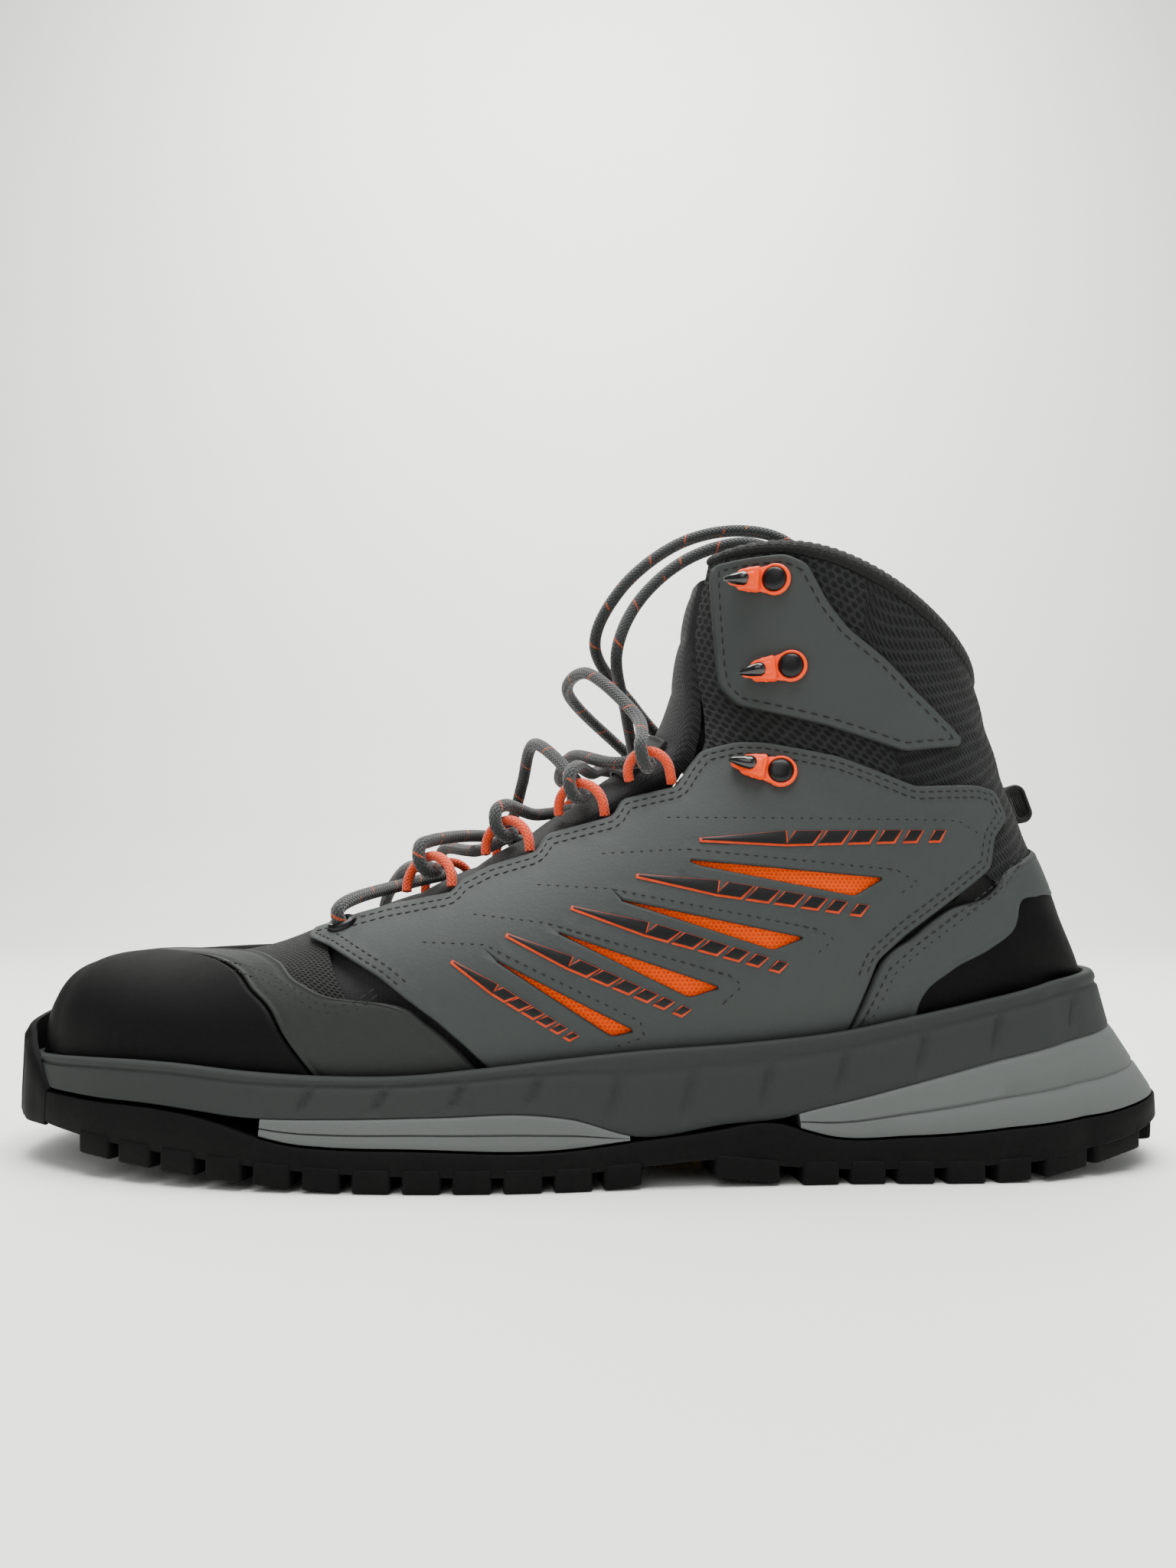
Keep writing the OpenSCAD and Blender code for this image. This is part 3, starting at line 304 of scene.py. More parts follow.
def rubberFinish(name, colour, roughness, grain=700.0, bump=0.06, dust=0.3, specular=0.3):
    # moulded rubber or foam: fine grain, faint blotches and dust towards the ground
    finish = Finish(name, colour, roughness, specular=specular)
    pebble = finish.group("grain", Scale=grain)
    finish.tint(pebble[1], tuple(c * 1.3 + 0.001 for c in colour), 0.5)
    finish.tint(finish.group("dust", Amount=dust, Top=0.05)[0], dustColour, 0.45)
    finish.rough(pebble[1], roughness - 0.1, roughness + 0.15)
    return finish.bump(pebble[0], bump)


def clothFinish(name, colour, thread, across, along, bump=0.12, sheen=0.08, dust=0.05):
    # plain weave, with across and along threads to the millimetre
    finish = Finish(name, colour, 0.85, sheen=sheen, specular=0.25)
    weave = finish.group("weave", Vector=finish.cloth(), Across=across, Along=along)
    finish.tint(weave[0], thread, 0.8)
    finish.tint(noiseNode(finish.tree, finish.object(), 120.0, 5.0), tuple(c * 1.6 for c in thread), 0.25)
    finish.tint(finish.group("dust", Amount=dust, Top=0.1)[0], dustColour, 0.4)
    finish.rough(weave[0], 0.75, 0.95)
    return finish.bump(weave[0], bump)


def meshFinish(name, colour, hole, size, angle=0.0, bump=0.25, dust=0.03, specular=0.2):
    # honeycomb mesh: holes of the given size in millimetres in a finely woven ground
    finish = Finish(name, colour, 0.7, sheen=0.03, specular=specular)
    comb = finish.group("honeycomb", Vector=finish.cloth(angle), Size=size)
    weave = finish.group("weave", Vector=finish.cloth(45 + angle), Across=4.0, Along=4.0)
    finish.tint(weave[0], tuple(min(1, c * 1.5) for c in colour), 0.5)
    finish.tint(comb[0], hole, 1.0)
    finish.tint(finish.group("dust", Amount=dust, Top=0.08)[0], dustColour, 0.35)
    finish.rough(comb[0], 0.7, 0.95)
    return finish.bump(weave[0], 0.05).bump(comb[1], bump)


def braidFinish(name, colour, thread, fleck=None):
    # round braid: slanted yarns both ways; the coordinates run along the cord and round it, in millimetres
    finish = Finish(name, colour, 0.7, sheen=0.3, specular=0.35)
    weave = finish.group("weave", Vector=finish.cloth(45), Across=1.25, Along=1.25)
    finish.tint(weave[0], thread, 0.7)
    if fleck:
        # one coloured yarn winds round the cord and dips under the others
        tree = finish.tree
        along, around, _ = splitVector(tree, finish.cloth())
        turn = mathNode(tree, "FRACT", mathNode(tree, "ADD", mathNode(tree, "MULTIPLY", along, 0.17),
                                                mathNode(tree, "MULTIPLY", around, 0.094)))
        wave = mathNode(tree, "SINE", mathNode(tree, "MULTIPLY", along, 0.62))
        shown = mathNode(tree, "GREATER_THAN", wave, 0.25)
        yarn = mathNode(tree, "LESS_THAN", turn, 0.1)
        finish.tint(mathNode(tree, "MULTIPLY", yarn, shown), fleck, 0.9)
    return finish.bump(weave[0], 0.22)


def paintFinish(name, colour, roughness, metallic=0.0, coat=0.4, scratches=0.3):
    # a smooth solid face: paint, metal or sheet, with a cloudy roughness
    finish = Finish(name, colour, roughness, metallic=metallic, coat=coat, specular=0.3)
    cloud = noiseNode(finish.tree, finish.object(), 900.0, 6.0)
    finish.tint(cloud, tuple(min(1, c * 1.25 + 0.001) for c in colour), scratches)
    finish.rough(cloud, roughness * 0.7, roughness * 1.5)
    return finish.bump(cloud, 0.01)


finishes = {
    "tread": rubberFinish("black_tread_rubber", (0.002, 0.002, 0.0022), 0.75, grain=600, dust=0.02,
                          specular=0.1),
    "darkFoam": rubberFinish("dark_midsole_foam", (0.023, 0.026, 0.025), 0.7, grain=2200, bump=0.03, dust=0.02,
                             specular=0.15),
    "lightFoam": rubberFinish("grey_midsole_foam", (0.078, 0.085, 0.083), 0.65, grain=2200, bump=0.03,
                              dust=0.04, specular=0.2),
    "toeCap": rubberFinish("toe_cap_rubber", (0.0018, 0.0018, 0.002), 0.7, grain=2600, bump=0.04, dust=0.01,
                           specular=0.1),
    "inlay": rubberFinish("yellow_inlay_rubber", (0.7, 0.42, 0.03), 0.5),
    "panel": leatherFinish("grey_coated_leather", (0.033, 0.038, 0.037), dust=0.03, specular=0.2),
    "overlay": leatherFinish("dark_overlay_leather", (0.016, 0.0175, 0.0165), dust=0.03, specular=0.2),
    "heelPatch": leatherFinish("black_heel_leather", (0.0012, 0.0012, 0.0014), dust=0.01, specular=0.08),
    "facing": leatherFinish("tongue_leather", (0.012, 0.013, 0.013)),
    "flash": leatherFinish("black_print", (0.004, 0.004, 0.0042), roughness=0.45, bump=0.02, dust=0.02),
    "flashEdge": leatherFinish("orange_print", (0.85, 0.06, 0.0), roughness=0.5, bump=0.02, dust=0.0),
    "vamp": meshFinish("black_vamp_mesh", (0.014, 0.014, 0.014), (0.002, 0.002, 0.002), 1.1),
    "window": meshFinish("orange_window_mesh", (1.0, 0.09, 0.0), (0.8, 0.05, 0.0), 1.1, bump=0.12, dust=0.0,
                         specular=0.05),
    "collar": meshFinish("dark_collar_mesh", (0.0125, 0.0135, 0.0135), (0.0065, 0.007, 0.007), 2.3, angle=20,
                         bump=0.3, dust=0.01),
    "binding": clothFinish("black_edge_tape", (0.003, 0.003, 0.003), (0.012, 0.012, 0.012), 1.3, 1.3, bump=0.15,
                           sheen=0.05, dust=0.03),
    "lining": clothFinish("inner_lining_cloth", (0.008, 0.008, 0.009), (0.025, 0.025, 0.027), 1.2, 1.2,
                          bump=0.08),
    "footbed": clothFinish("footbed_cloth", (0.01, 0.01, 0.011), (0.035, 0.035, 0.037), 0.8, 0.8, bump=0.1),
    "tongue": clothFinish("tongue_cloth", (0.004, 0.004, 0.0045), (0.018, 0.018, 0.019), 1.1, 1.1, bump=0.15),
    "webbing": clothFinish("ribbed_webbing", (0.003, 0.003, 0.003), (0.011, 0.011, 0.011), 1.4, 0.7, bump=0.3),
    "thread": clothFinish("dark_thread", (0.004, 0.004, 0.004), (0.012, 0.012, 0.012), 3.0, 3.0, bump=0.03),
    "lace": braidFinish("dark_round_lace", (0.006, 0.007, 0.007), (0.03, 0.035, 0.035),
                        fleck=(0.35, 0.05, 0.008)),
    "loopCord": braidFinish("orange_loop_cord", (0.6, 0.03, 0.0), (0.95, 0.08, 0.0)),
    "hookPaint": paintFinish("orange_hook_paint", (0.97, 0.06, 0.0), 0.35, coat=0.05),
    "beak": paintFinish("black_beak", (0.004, 0.004, 0.004), 0.2, coat=0.8),
    "rivet": paintFinish("dark_rivet", (0.02, 0.02, 0.021), 0.3, metallic=0.85, coat=0.0, scratches=0.8),
    "aglet": paintFinish("black_aglet", (0.006, 0.006, 0.006), 0.3),
    "steel": paintFinish("shank_steel", (0.45, 0.45, 0.45), 0.35, metallic=1.0, coat=0.0),
    "board": paintFinish("insole_board", (0.3, 0.24, 0.16), 0.8, coat=0.0),
    "counter": paintFinish("heel_counter_cloth", (0.014, 0.014, 0.014), 0.85, coat=0.0),
    "stiffener": paintFinish("stiffener_sheet", (0.6, 0.57, 0.5), 0.6, coat=0.0),
    "foam": paintFinish("open_foam", (0.25, 0.25, 0.25), 0.9, coat=0.0),
}
print("finishes ready:", len(finishes))


# Surface maths, in millimetres
pivotX, pivotZ, fanRadius = -60.0, 178.0, 100.0
frontRound, sideRound, toeA = 2.3, 2.2, -81.5
last = np.array([
    [-81.5, 146, 155.5, 0, 0.93, 0.32], [-80.2, 140.5, 155.7, 11.5, 0.93, 0.32],
    [-77.2, 135, 156, 19.5, 0.93, 0.32], [-71, 131, 156.5, 27.5, 0.93, 0.32],
    [-60, 128.7, 157.2, 35.5, 0.94, 0.32], [-45, 128, 157.8, 42, 0.95, 0.31],
    [-25, 125, 158.3, 47, 0.95, 0.3], [0, 115.5, 158.4, 49.5, 0.94, 0.3],
    [25, 108, 163, 49, 0.92, 0.3], [50, 103.5, 177.8, 45, 0.88, 0.32],
    [70, 102.5, 197.5, 41.5, 0.83, 0.36], [85, 103, 221, 38.5, 0.78, 0.4],
    [90, 102, 232, 37.8, 0.55, 0.42], [93, 101, 235, 37.2, 0, 0.43],
    [100, 98, 218.5, 36, 0, 0.45], [110, 94.5, 193.5, 35, 0, 0.47],
    [120, 92.5, 178, 35.5, 0, 0.48], [130, 91.5, 170.5, 37, 0, 0.48], [140, 91, 165.5, 38, 0, 0.48]])


def smoothRows(table, x):
    # cubic between rows: (2s^3-3s^2+1)p0 + (s^3-2s^2+s)h m0 + (3s^2-2s^3)p1 + (s^3-s^2)h m1
    t, x = np.asarray(table, float), np.asarray(x, float)
    gap = np.diff(t[:, 0])
    grade = np.diff(t, axis=0) / gap[:, None]
    slope = np.empty_like(t)
    slope[0], slope[-1] = grade[0], grade[-1]
    slope[1:-1] = (grade[:-1] * gap[1:, None] + grade[1:] * gap[:-1, None]) / (gap[1:] + gap[:-1])[:, None]
    i = np.clip(np.searchsorted(t[:, 0], x, side="right") - 1, 0, len(t) - 2)
    s = np.clip((x - t[i, 0]) / gap[i], 0, 1)[..., None]
    h = gap[i][..., None]
    return ((2 * s**3 - 3 * s**2 + 1) * t[i] + (s**3 - 2 * s**2 + s) * h * slope[i]
            + (3 * s**2 - 2 * s**3) * t[i + 1] + (s**3 - s**2) * h * slope[i + 1])


def lineAt(table, x):
    return smoothRows(table, x)[..., 1]


def mix(a, b, s):
    return a + (b - a) * s


def unit(v):
    return v / np.linalg.norm(v)


def toePush(a):
    # how far an outer layer moves forward: 0 at 45 before the pivot, 1 at the toe, as a square
    return np.where(a < -45, ((-45 - a) / (-45 - toeA)) ** 2, 0)


def swing(x):
    # the foot's curve inwards: y = 6 ((10 - x) / 155)^2 - 0.6, in front of x = 10
    return 6 * (np.maximum(0, 10 - x) / 155) ** 2 - 0.6


def section(a, off):
    # front, back and half width of the last at fan distance a, set off outwards, and its two shape shares
    row = smoothRows(last, a)
    width = row[..., 3] + off * np.minimum(1, row[..., 3] / 20)
    return row[..., 1] - off, row[..., 2] + off, width, row[..., 4], row[..., 5]


def profile(sole, widest, tau):
    # above the widest share: (1 - up^n)^(1/m); below it: (1 - (1 - sole^m) down^n)^(1/m)
    up = np.clip((tau - widest) / (1 - widest), 0, 1)
    down = np.clip((widest - tau) / widest, 0, 1)
    high = np.clip(1 - up**frontRound, 0, 1) ** (1 / sideRound)
    low = np.clip(1 - (1 - np.clip(sole, 0, 1) ** sideRound) * down**frontRound, 0, 1) ** (1 / sideRound)
    return np.where(tau >= widest, high, low)


def upperPoint(a, tau, off, side):
    # fan distance a, share tau from back to front: x = pivot + r sin, z = pivot - r cos, y = side W profile
    a, tau, off, side = np.broadcast_arrays(*[np.asarray(q, float) for q in (a, tau, off, side)])
    front, back, width, sole, widest = section(a, off)
    r = back - tau * (back - front)
    turn = np.maximum(a, 0) / fanRadius
    x = np.where(a < 0, pivotX + a, pivotX + r * np.sin(turn))
    z = pivotZ - r * np.where(a < 0, 1, np.cos(turn))
    x = x - off * toePush(a)
    return np.stack([x, side * width * profile(sole, widest, tau) + swing(x), z], -1)


def toFan(x, z):
    # fan distance and radius of a point in the side view
    return (np.where(x < pivotX, x - pivotX, fanRadius * np.arctan2(np.maximum(x - pivotX, 0), pivotZ - z)),
            np.where(x < pivotX, pivotZ - z, np.hypot(x - pivotX, pivotZ - z)))


def halfWidth(x, z, off):
    # half width W profile of the upper at a point in the side view, 0 outside it
    push = toePush(x - pivotX + off)
    a, r = toFan(x + off * push, z)
    front, back, width, sole, widest = section(a, off)
    tau = (back - r) / (back - front)
    return np.where((tau < 0) | (tau > 1), 0, width * profile(sole, widest, np.clip(tau, 0, 1)))


def onUpper(x, z, off, side):
    # the point of the upper that the side view shows at x, z
    x, z, off = np.broadcast_arrays(np.asarray(x, float), np.asarray(z, float), np.asarray(off, float))
    return np.stack([x, side * halfWidth(x, z, off) + swing(x), z], -1)


# Making pieces
def addPiece(name, points, faces, finish, body="boot", slotName=None, replaces=(), cloth=None, edge=None,
             weld=False, sharp=40.0, flatFaces=False):
    # faces is a list of integer arrays, each (count, 3) or (count, 4); points are in millimetres
    mesh = bpy.data.meshes.new(name)
    points = np.asarray(points, float) * 0.001
    faces = [np.asarray(f, np.int32) for f in faces if len(f)]
    loops = np.concatenate([f.ravel() for f in faces])
    sizes = np.concatenate([np.full(len(f), f.shape[1], np.int32) for f in faces])
    mesh.vertices.add(len(points))
    mesh.vertices.foreach_set("co", points.ravel())
    mesh.loops.add(len(loops))
    mesh.loops.foreach_set("vertex_index", loops)
    mesh.polygons.add(len(sizes))
    mesh.polygons.foreach_set("loop_start", np.concatenate([[0], np.cumsum(sizes)[:-1]]).astype(np.int32))
    mesh.polygons.foreach_set("use_smooth", np.full(len(sizes), not flatFaces))
    mesh.update(calc_edges=True)
    if cloth is not None:
        layer = mesh.uv_layers.new(name="cloth")
        layer.data.foreach_set("uv", np.asarray(cloth, float)[loops].ravel())
    if edge is not None:
        layer = mesh.attributes.new("edge", "FLOAT", "POINT")
        layer.data.foreach_set("value", np.asarray(edge, float).ravel())
    if weld:
        work = bmesh.new()
        work.from_mesh(mesh)
        bmesh.ops.remove_doubles(work, verts=work.verts, dist=2e-6)
        bmesh.ops.dissolve_degenerate(work, edges=work.edges, dist=1e-7)
        bmesh.ops.recalc_face_normals(work, faces=work.faces)
        work.to_mesh(mesh)
        work.free()
    mesh.validate()
    if not flatFaces:
        mesh.set_sharp_from_angle(angle=math.radians(sharp))
    piece = bpy.data.objects.new(name, mesh)
    bpy.context.scene.collection.objects.link(piece)
    mesh.materials.append(finishes[finish].material)
    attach(piece, body)
    if replaces:
        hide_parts(*replaces)
    return piece


def gridFaces(rows, cols, start=0, closeRows=False, closeCols=False, flip=False):
    # four-sided faces between neighbours of a grid that is stored row by row
    i = np.arange(rows if closeRows else rows - 1)
    j = np.arange(cols if closeCols else cols - 1)
    i, j = np.meshgrid(i, j, indexing="ij")
    a, b = i * cols + j, ((i + 1) % rows) * cols + j
    c, d = ((i + 1) % rows) * cols + (j + 1) % cols, i * cols + (j + 1) % cols
    faces = np.stack([a, b, c, d], -1).reshape(-1, 4) + start
    return faces[:, ::-1] if flip else faces


def rimFaces(rows, cols, shift, flip=False):
    # joins the edges of a grid to the same edges of its twin, which starts shift places later
    top, bottom = np.arange(cols), (rows - 1) * cols + np.arange(cols)
    left, right = np.arange(rows) * cols, np.arange(rows) * cols + cols - 1
    out = []
    for line, turn in ((top, False), (bottom, True), (left, True), (right, False)):
        a, b = line[:-1], line[1:]
        quad = np.stack([a, b, b + shift, a + shift], -1)
        out.append(quad[:, ::-1] if turn != flip else quad)
    return np.concatenate(out)


def arcLength(points, axis):
    # the run of distances between neighbours along one axis, from 0
    step = np.linalg.norm(np.diff(points, axis=axis), axis=-1)
    zero = np.zeros_like(np.take(step, [0], axis=axis))
    return np.concatenate([zero, np.cumsum(step, axis=axis)], axis=axis)


def edgeSamples(count, length, near):
    # evenly spaced shares with more of them close to both ends, at the distances in near
    near = np.asarray(near) / length
    near = near[near < 0.45]
    s = np.concatenate([np.linspace(0, 1, count), near, 1 - near])
    s = np.unique(np.round(s, 6))
    keep = np.concatenate([[True], np.diff(s) > 0.12 / length])
    keep[-1] = True
    return s[keep]


edgeSteps = [0.15, 0.4, 0.8, 1.4]


def roundedDrop(distance, radius):
    # how far a panel's face falls away at its cut edge: radius - sqrt(radius^2 - (radius - d)^2)
    d = np.clip(distance, 0, radius)
    return radius - np.sqrt(np.maximum(radius**2 - (radius - d) ** 2, 0))


def sideCloth(grid):
    # cloth coordinates for a grid of rings: the run along its first ring, and the height
    run = np.broadcast_to(arcLength(grid[0], 0), grid.shape[:2])
    return np.stack([run, grid[..., 2]], -1).reshape(-1, 2)


def fanEnds(rows, cols):
    # closes both ends of a strip whose rows form a ring, each with a fan of triangles
    k = np.arange(1, rows - 1)
    fan = np.stack([np.zeros(rows - 2, int), k, k + 1], -1) * cols
    return [fan[:, ::-1], fan + cols - 1]


def skinPiece(name, place, rows, cols, size, outer, inner, finish, rounded=(1, 1, 1, 1), radius=0.7,
              relief=None, **extra):
    # a layer over the upper: place(v, u) gives fan distance, share and side; rounded says which edges are cut
    us = edgeSamples(rows, size[0], edgeSteps)
    vs = edgeSamples(cols, size[1], edgeSteps) * 2 - 1
    u, v = np.meshgrid(us, vs, indexing="ij")
    a, tau, side = place(v, u)
    middle = upperPoint(a, tau, outer, side)
    down, across = arcLength(middle, 0), arcLength(middle, 1)
    far = 99.0
    gaps = [down if rounded[0] else far, down[-1:] - down if rounded[1] else far,
            across if rounded[2] else far, across[:, -1:] - across if rounded[3] else far]
    distance = np.minimum.reduce([np.broadcast_to(g, u.shape) for g in gaps])
    off = outer - roundedDrop(distance, radius)
    if relief is not None:
        off = off + relief(distance, a, tau, middle)
    top = upperPoint(a, tau, off, side)
    low = upperPoint(a, tau, inner, side)
    n = u.size
    points = np.concatenate([top.reshape(-1, 3), low.reshape(-1, 3)])
    normals = np.cross(top[1:, :-1] - top[:-1, :-1], top[:-1, 1:] - top[:-1, :-1])
    flip = np.sum(normals * (top - low)[:-1, :-1]) < 0
    faces = [gridFaces(*u.shape, flip=flip), gridFaces(*u.shape, start=n, flip=not flip),
             rimFaces(*u.shape, n, flip=not flip)]
    centre = across.shape[1] // 2
    cloth = np.stack([(across - across[:, centre:centre + 1]).ravel(), down.ravel()], -1)
    return addPiece(name, points, faces, finish, cloth=np.concatenate([cloth, cloth]),
                    edge=np.concatenate([distance.ravel(), np.zeros(n)]), weld=True, **extra)


def roundCorners(outline, cut):
    # each corner gives way to a short arc (start + 2 corner + end) / 4 that begins at most cut from it
    p = np.asarray(outline, float)
    back, ahead = np.roll(p, 1, axis=0) - p, np.roll(p, -1, axis=0) - p
    shares = [np.minimum(cut / np.linalg.norm(d, axis=1), 0.35)[:, None] for d in (back, ahead)]
    start, end = p + back * shares[0], p + ahead * shares[1]
    return np.stack([start, (start + 2 * p + end) / 4, end], 1).reshape(-1, 2)


def resample(line, step, closed=True):
    # points at even distances of about step along the line
    p = np.asarray(line, float)
    if closed:
        p = np.concatenate([p, p[:1]])
    run = np.concatenate([[0], np.cumsum(np.linalg.norm(np.diff(p, axis=0), axis=1))])
    count = max(3, int(round(run[-1] / step)))
    at = np.linspace(0, run[-1], count + 1)
    if closed:
        at = at[:-1]
    return np.stack([np.interp(at, run, p[:, k]) for k in range(p.shape[1])], -1)


def insideOf(points, polygon):
    # even-odd rule along a ray towards +x
    x, y = points[:, 0][:, None], points[:, 1][:, None]
    a, b = polygon, np.roll(polygon, -1, axis=0)
    cross = (a[:, 1] > y) != (b[:, 1] > y)
    with np.errstate(divide="ignore", invalid="ignore"):
        at = a[:, 0] + (y - a[:, 1]) * (b[:, 0] - a[:, 0]) / (b[:, 1] - a[:, 1])
    return np.sum(cross & (x < at), axis=1) % 2 == 1


def insidePanel(points, lines):
    # within the first line and outside all the others
    within = insideOf(points, lines[0])
    for hole in lines[1:]:
        within &= ~insideOf(points, hole)
    return within


def distanceTo(points, lines):
    # the least distance from each point to closed lines
    best = np.full(len(points), 1e9)
    for line in lines:
        a, b = line, np.roll(line, -1, axis=0)
        d = b - a
        for start in range(0, len(points), 4000):
            p = points[start:start + 4000][:, None]
            s = np.clip(np.sum((p - a) * d, -1) / np.sum(d * d, -1), 0, 1)
            gap = np.linalg.norm(p - a - s[..., None] * d, axis=-1).min(axis=1)
            best[start:start + 4000] = np.minimum(best[start:start + 4000], gap)
    return best


def insetLine(line, distance):
    # each point of a closed line moved along its inward normal
    tangent = np.roll(line, -1, axis=0) - np.roll(line, 1, axis=0)
    tangent /= np.linalg.norm(tangent, axis=1)[:, None] + 1e-9
    area = 0.5 * np.sum(line[:, 0] * np.roll(line[:, 1], -1) - np.roll(line[:, 0], -1) * line[:, 1])
    inward = np.stack([-tangent[:, 1], tangent[:, 0]], -1) * (1 if area > 0 else -1)
    return line + inward * distance


cutSize = {"corner": 1.2, "step": 1.2, "holeCorner": 0.8, "holeStep": 0.9, "spacing": 2.2, "edge": 4.2,
           "rings": (0.15, 0.4, 0.8, 1.5, 2.3, 3.1)}


def cutPanel(name, outline, holes, toSurface, outer, inner, finish, radius=0.7, relief=None, **extra):
    # a panel cut from sheet: a triangulated outline laid on toSurface(x, z, off), with rounded cut edges
    lines = [resample(roundCorners(outline, cutSize["corner"]), cutSize["step"])]
    lines += [resample(roundCorners(h, cutSize["holeCorner"]), cutSize["holeStep"]) for h in holes]
    rings = []
    for k, line in enumerate(lines):
        for d in cutSize["rings"]:
            ring = insetLine(line, d if k == 0 else -d)
            rings.append((ring, d))
    flat = np.concatenate([ring for ring, _ in rings])
    wanted = np.concatenate([np.full(len(ring), d) for ring, d in rings])
    keep = (distanceTo(flat, lines) > wanted * 0.93)
    low, high = lines[0].min(axis=0), lines[0].max(axis=0)
    gap = cutSize["spacing"]
    gx, gz = np.meshgrid(np.arange(low[0], high[0], gap), np.arange(low[1], high[1], gap * 0.9), indexing="ij")
    gx = gx + (np.arange(gx.shape[1]) % 2)[None] * gap / 2
    field = np.stack([gx.ravel(), gz.ravel()], -1)
    field = field[distanceTo(field, lines) > cutSize["edge"]]
    free = np.concatenate([flat[keep], field])
    sheet = np.concatenate(lines + [free[insidePanel(free, lines)]])
    edges, start = [], 0
    for line in lines:
        edges += [(start + i, start + (i + 1) % len(line)) for i in range(len(line))]
        start += len(line)
    verts, _, tris, _, _, _ = delaunay_2d_cdt([Vector(p) for p in sheet], edges, [], 0, 1e-5)
    flatPoints = np.array([tuple(v) for v in verts])
    tris = np.array([t for t in tris if len(t) == 3], np.int32)
    tris = tris[insidePanel(flatPoints[tris].mean(axis=1), lines)]
    distance = distanceTo(flatPoints, lines)
    off = outer - roundedDrop(distance, radius)
    if relief is not None:
        off = off + relief(distance, flatPoints)
    top = toSurface(flatPoints[:, 0], flatPoints[:, 1], off)
    under = toSurface(flatPoints[:, 0], flatPoints[:, 1], inner)
    normal = np.cross(top[tris[:, 1]] - top[tris[:, 0]], top[tris[:, 2]] - top[tris[:, 0]])
    if np.sum(normal * (top - under)[tris[:, 0]]) < 0:
        tris = tris[:, ::-1]
    pairs = np.concatenate([tris[:, [0, 1]], tris[:, [1, 2]], tris[:, [2, 0]]])
    key = np.sort(pairs, axis=1)
    _, first, counts = np.unique(key[:, 0] * 1000003 + key[:, 1], return_index=True, return_counts=True)
    rim = pairs[first[counts == 1]]
    n = len(flatPoints)
    wall = np.stack([rim[:, 1], rim[:, 0], rim[:, 0] + n, rim[:, 1] + n], -1)
    return addPiece(name, np.concatenate([top, under]), [tris, tris[:, ::-1] + n, wall], finish,
                    cloth=np.concatenate([flatPoints, flatPoints]),
                    edge=np.concatenate([distance, np.zeros(n)]), **extra)


def pickAt(points, run, at):
    # the points at distances at along a line whose distances are run
    return np.stack([np.interp(at, run, points[:, k]) for k in range(3)], -1)


def sewLine(name, lines, toSurface, off, length=1.6, gap=0.7, thick=0.2, closed=False, **extra):
    # one small capsule a stitch, along each line, its middle just proud of the surface
    centres, heads, ups = [], [], []
    for one in lines:
        p = resample(one, 0.5, closed)
        world = toSurface(p[:, 0], p[:, 1], off)
        lift = toSurface(p[:, 0], p[:, 1], off + 0.5) - world
        run = arcLength(world, 0)
        at = np.arange(length / 2, run[-1] - length / 2, length + gap)
        spot = pickAt(world, run, at)
        centres.append(spot)
        heads.append(pickAt(world, run, at + 0.4) - spot)
        ups.append(pickAt(lift, run, at))
    centre, head, up = (np.concatenate(q) for q in (centres, heads, ups))
    head /= np.linalg.norm(head, axis=1)[:, None] + 1e-9
    up -= head * np.sum(up * head, axis=1)[:, None]
    up /= np.linalg.norm(up, axis=1)[:, None] + 1e-9
    across = np.cross(head, up)
    turns = np.arange(6) * math.pi / 3
    # the capsule: a tip, three rings as [share of the length, size, height], and a tip
    local = [[-0.5, 0, -0.16]]
    for s, r, z in ((-0.42, 0.75, -0.1), (0.0, 1.0, 0.06), (0.42, 0.75, -0.1)):
        local += [[s, r * math.cos(t), z + r * 0.8 * thick * math.sin(t)] for t in turns]
    local += [[0.5, 0, -0.16]]
    local = np.array(local)
    size = local * [length, thick, 1]
    points = centre[:, None] + sum(axis[:, None] * size[None, :, i, None]
                                   for i, axis in enumerate((head, across, up)))
    k = np.arange(6)
    after = (k + 1) % 6
    caps = np.concatenate([np.stack([np.zeros(6, int), 1 + k, 1 + after], -1),
                           np.stack([np.full(6, 19), 13 + after, 13 + k], -1)])
    sides = np.concatenate([np.stack([first + k, first + 6 + k, first + 6 + after, first + after], -1)
                            for first in (1, 7)])
    shift = (np.arange(len(centre)) * len(local))[:, None, None]
    faces = [(sides[None] + shift).reshape(-1, 4), (caps[None] + shift).reshape(-1, 3)]
    cloth = np.tile(np.stack([local[:, 0] * length, local[:, 1]], -1), (len(centre), 1))
    return addPiece(name, points.reshape(-1, 3), faces, "thread", cloth=cloth, sharp=180, **extra)


def splinePath(points, step):
    # a smooth line through the points (centripetal Catmull-Rom), evenly sampled
    p = np.asarray(points, float)
    p = np.concatenate([2 * p[:1] - p[1:2], p, 2 * p[-1:] - p[-2:-1]])
    out = []
    for i in range(1, len(p) - 2):
        steps = np.maximum(np.linalg.norm(np.diff(p[i - 1:i + 3], axis=0), axis=1), 1e-6) ** 0.5
        knots = np.concatenate([[0], np.cumsum(steps)])
        t = np.linspace(knots[1], knots[2], 16, endpoint=False)[:, None]
        level = [p[i - 1 + k] for k in range(4)]
        for wide in (1, 2):
            level = [mix(level[k], level[k + 1], (t - knots[k]) / (knots[k + wide] - knots[k]))
                     for k in range(4 - wide)]
        out.append(mix(level[0], level[1], (t - knots[1]) / (knots[2] - knots[1])))
    out.append(p[-2:-1])
    return resample(np.concatenate(out), step, closed=False)


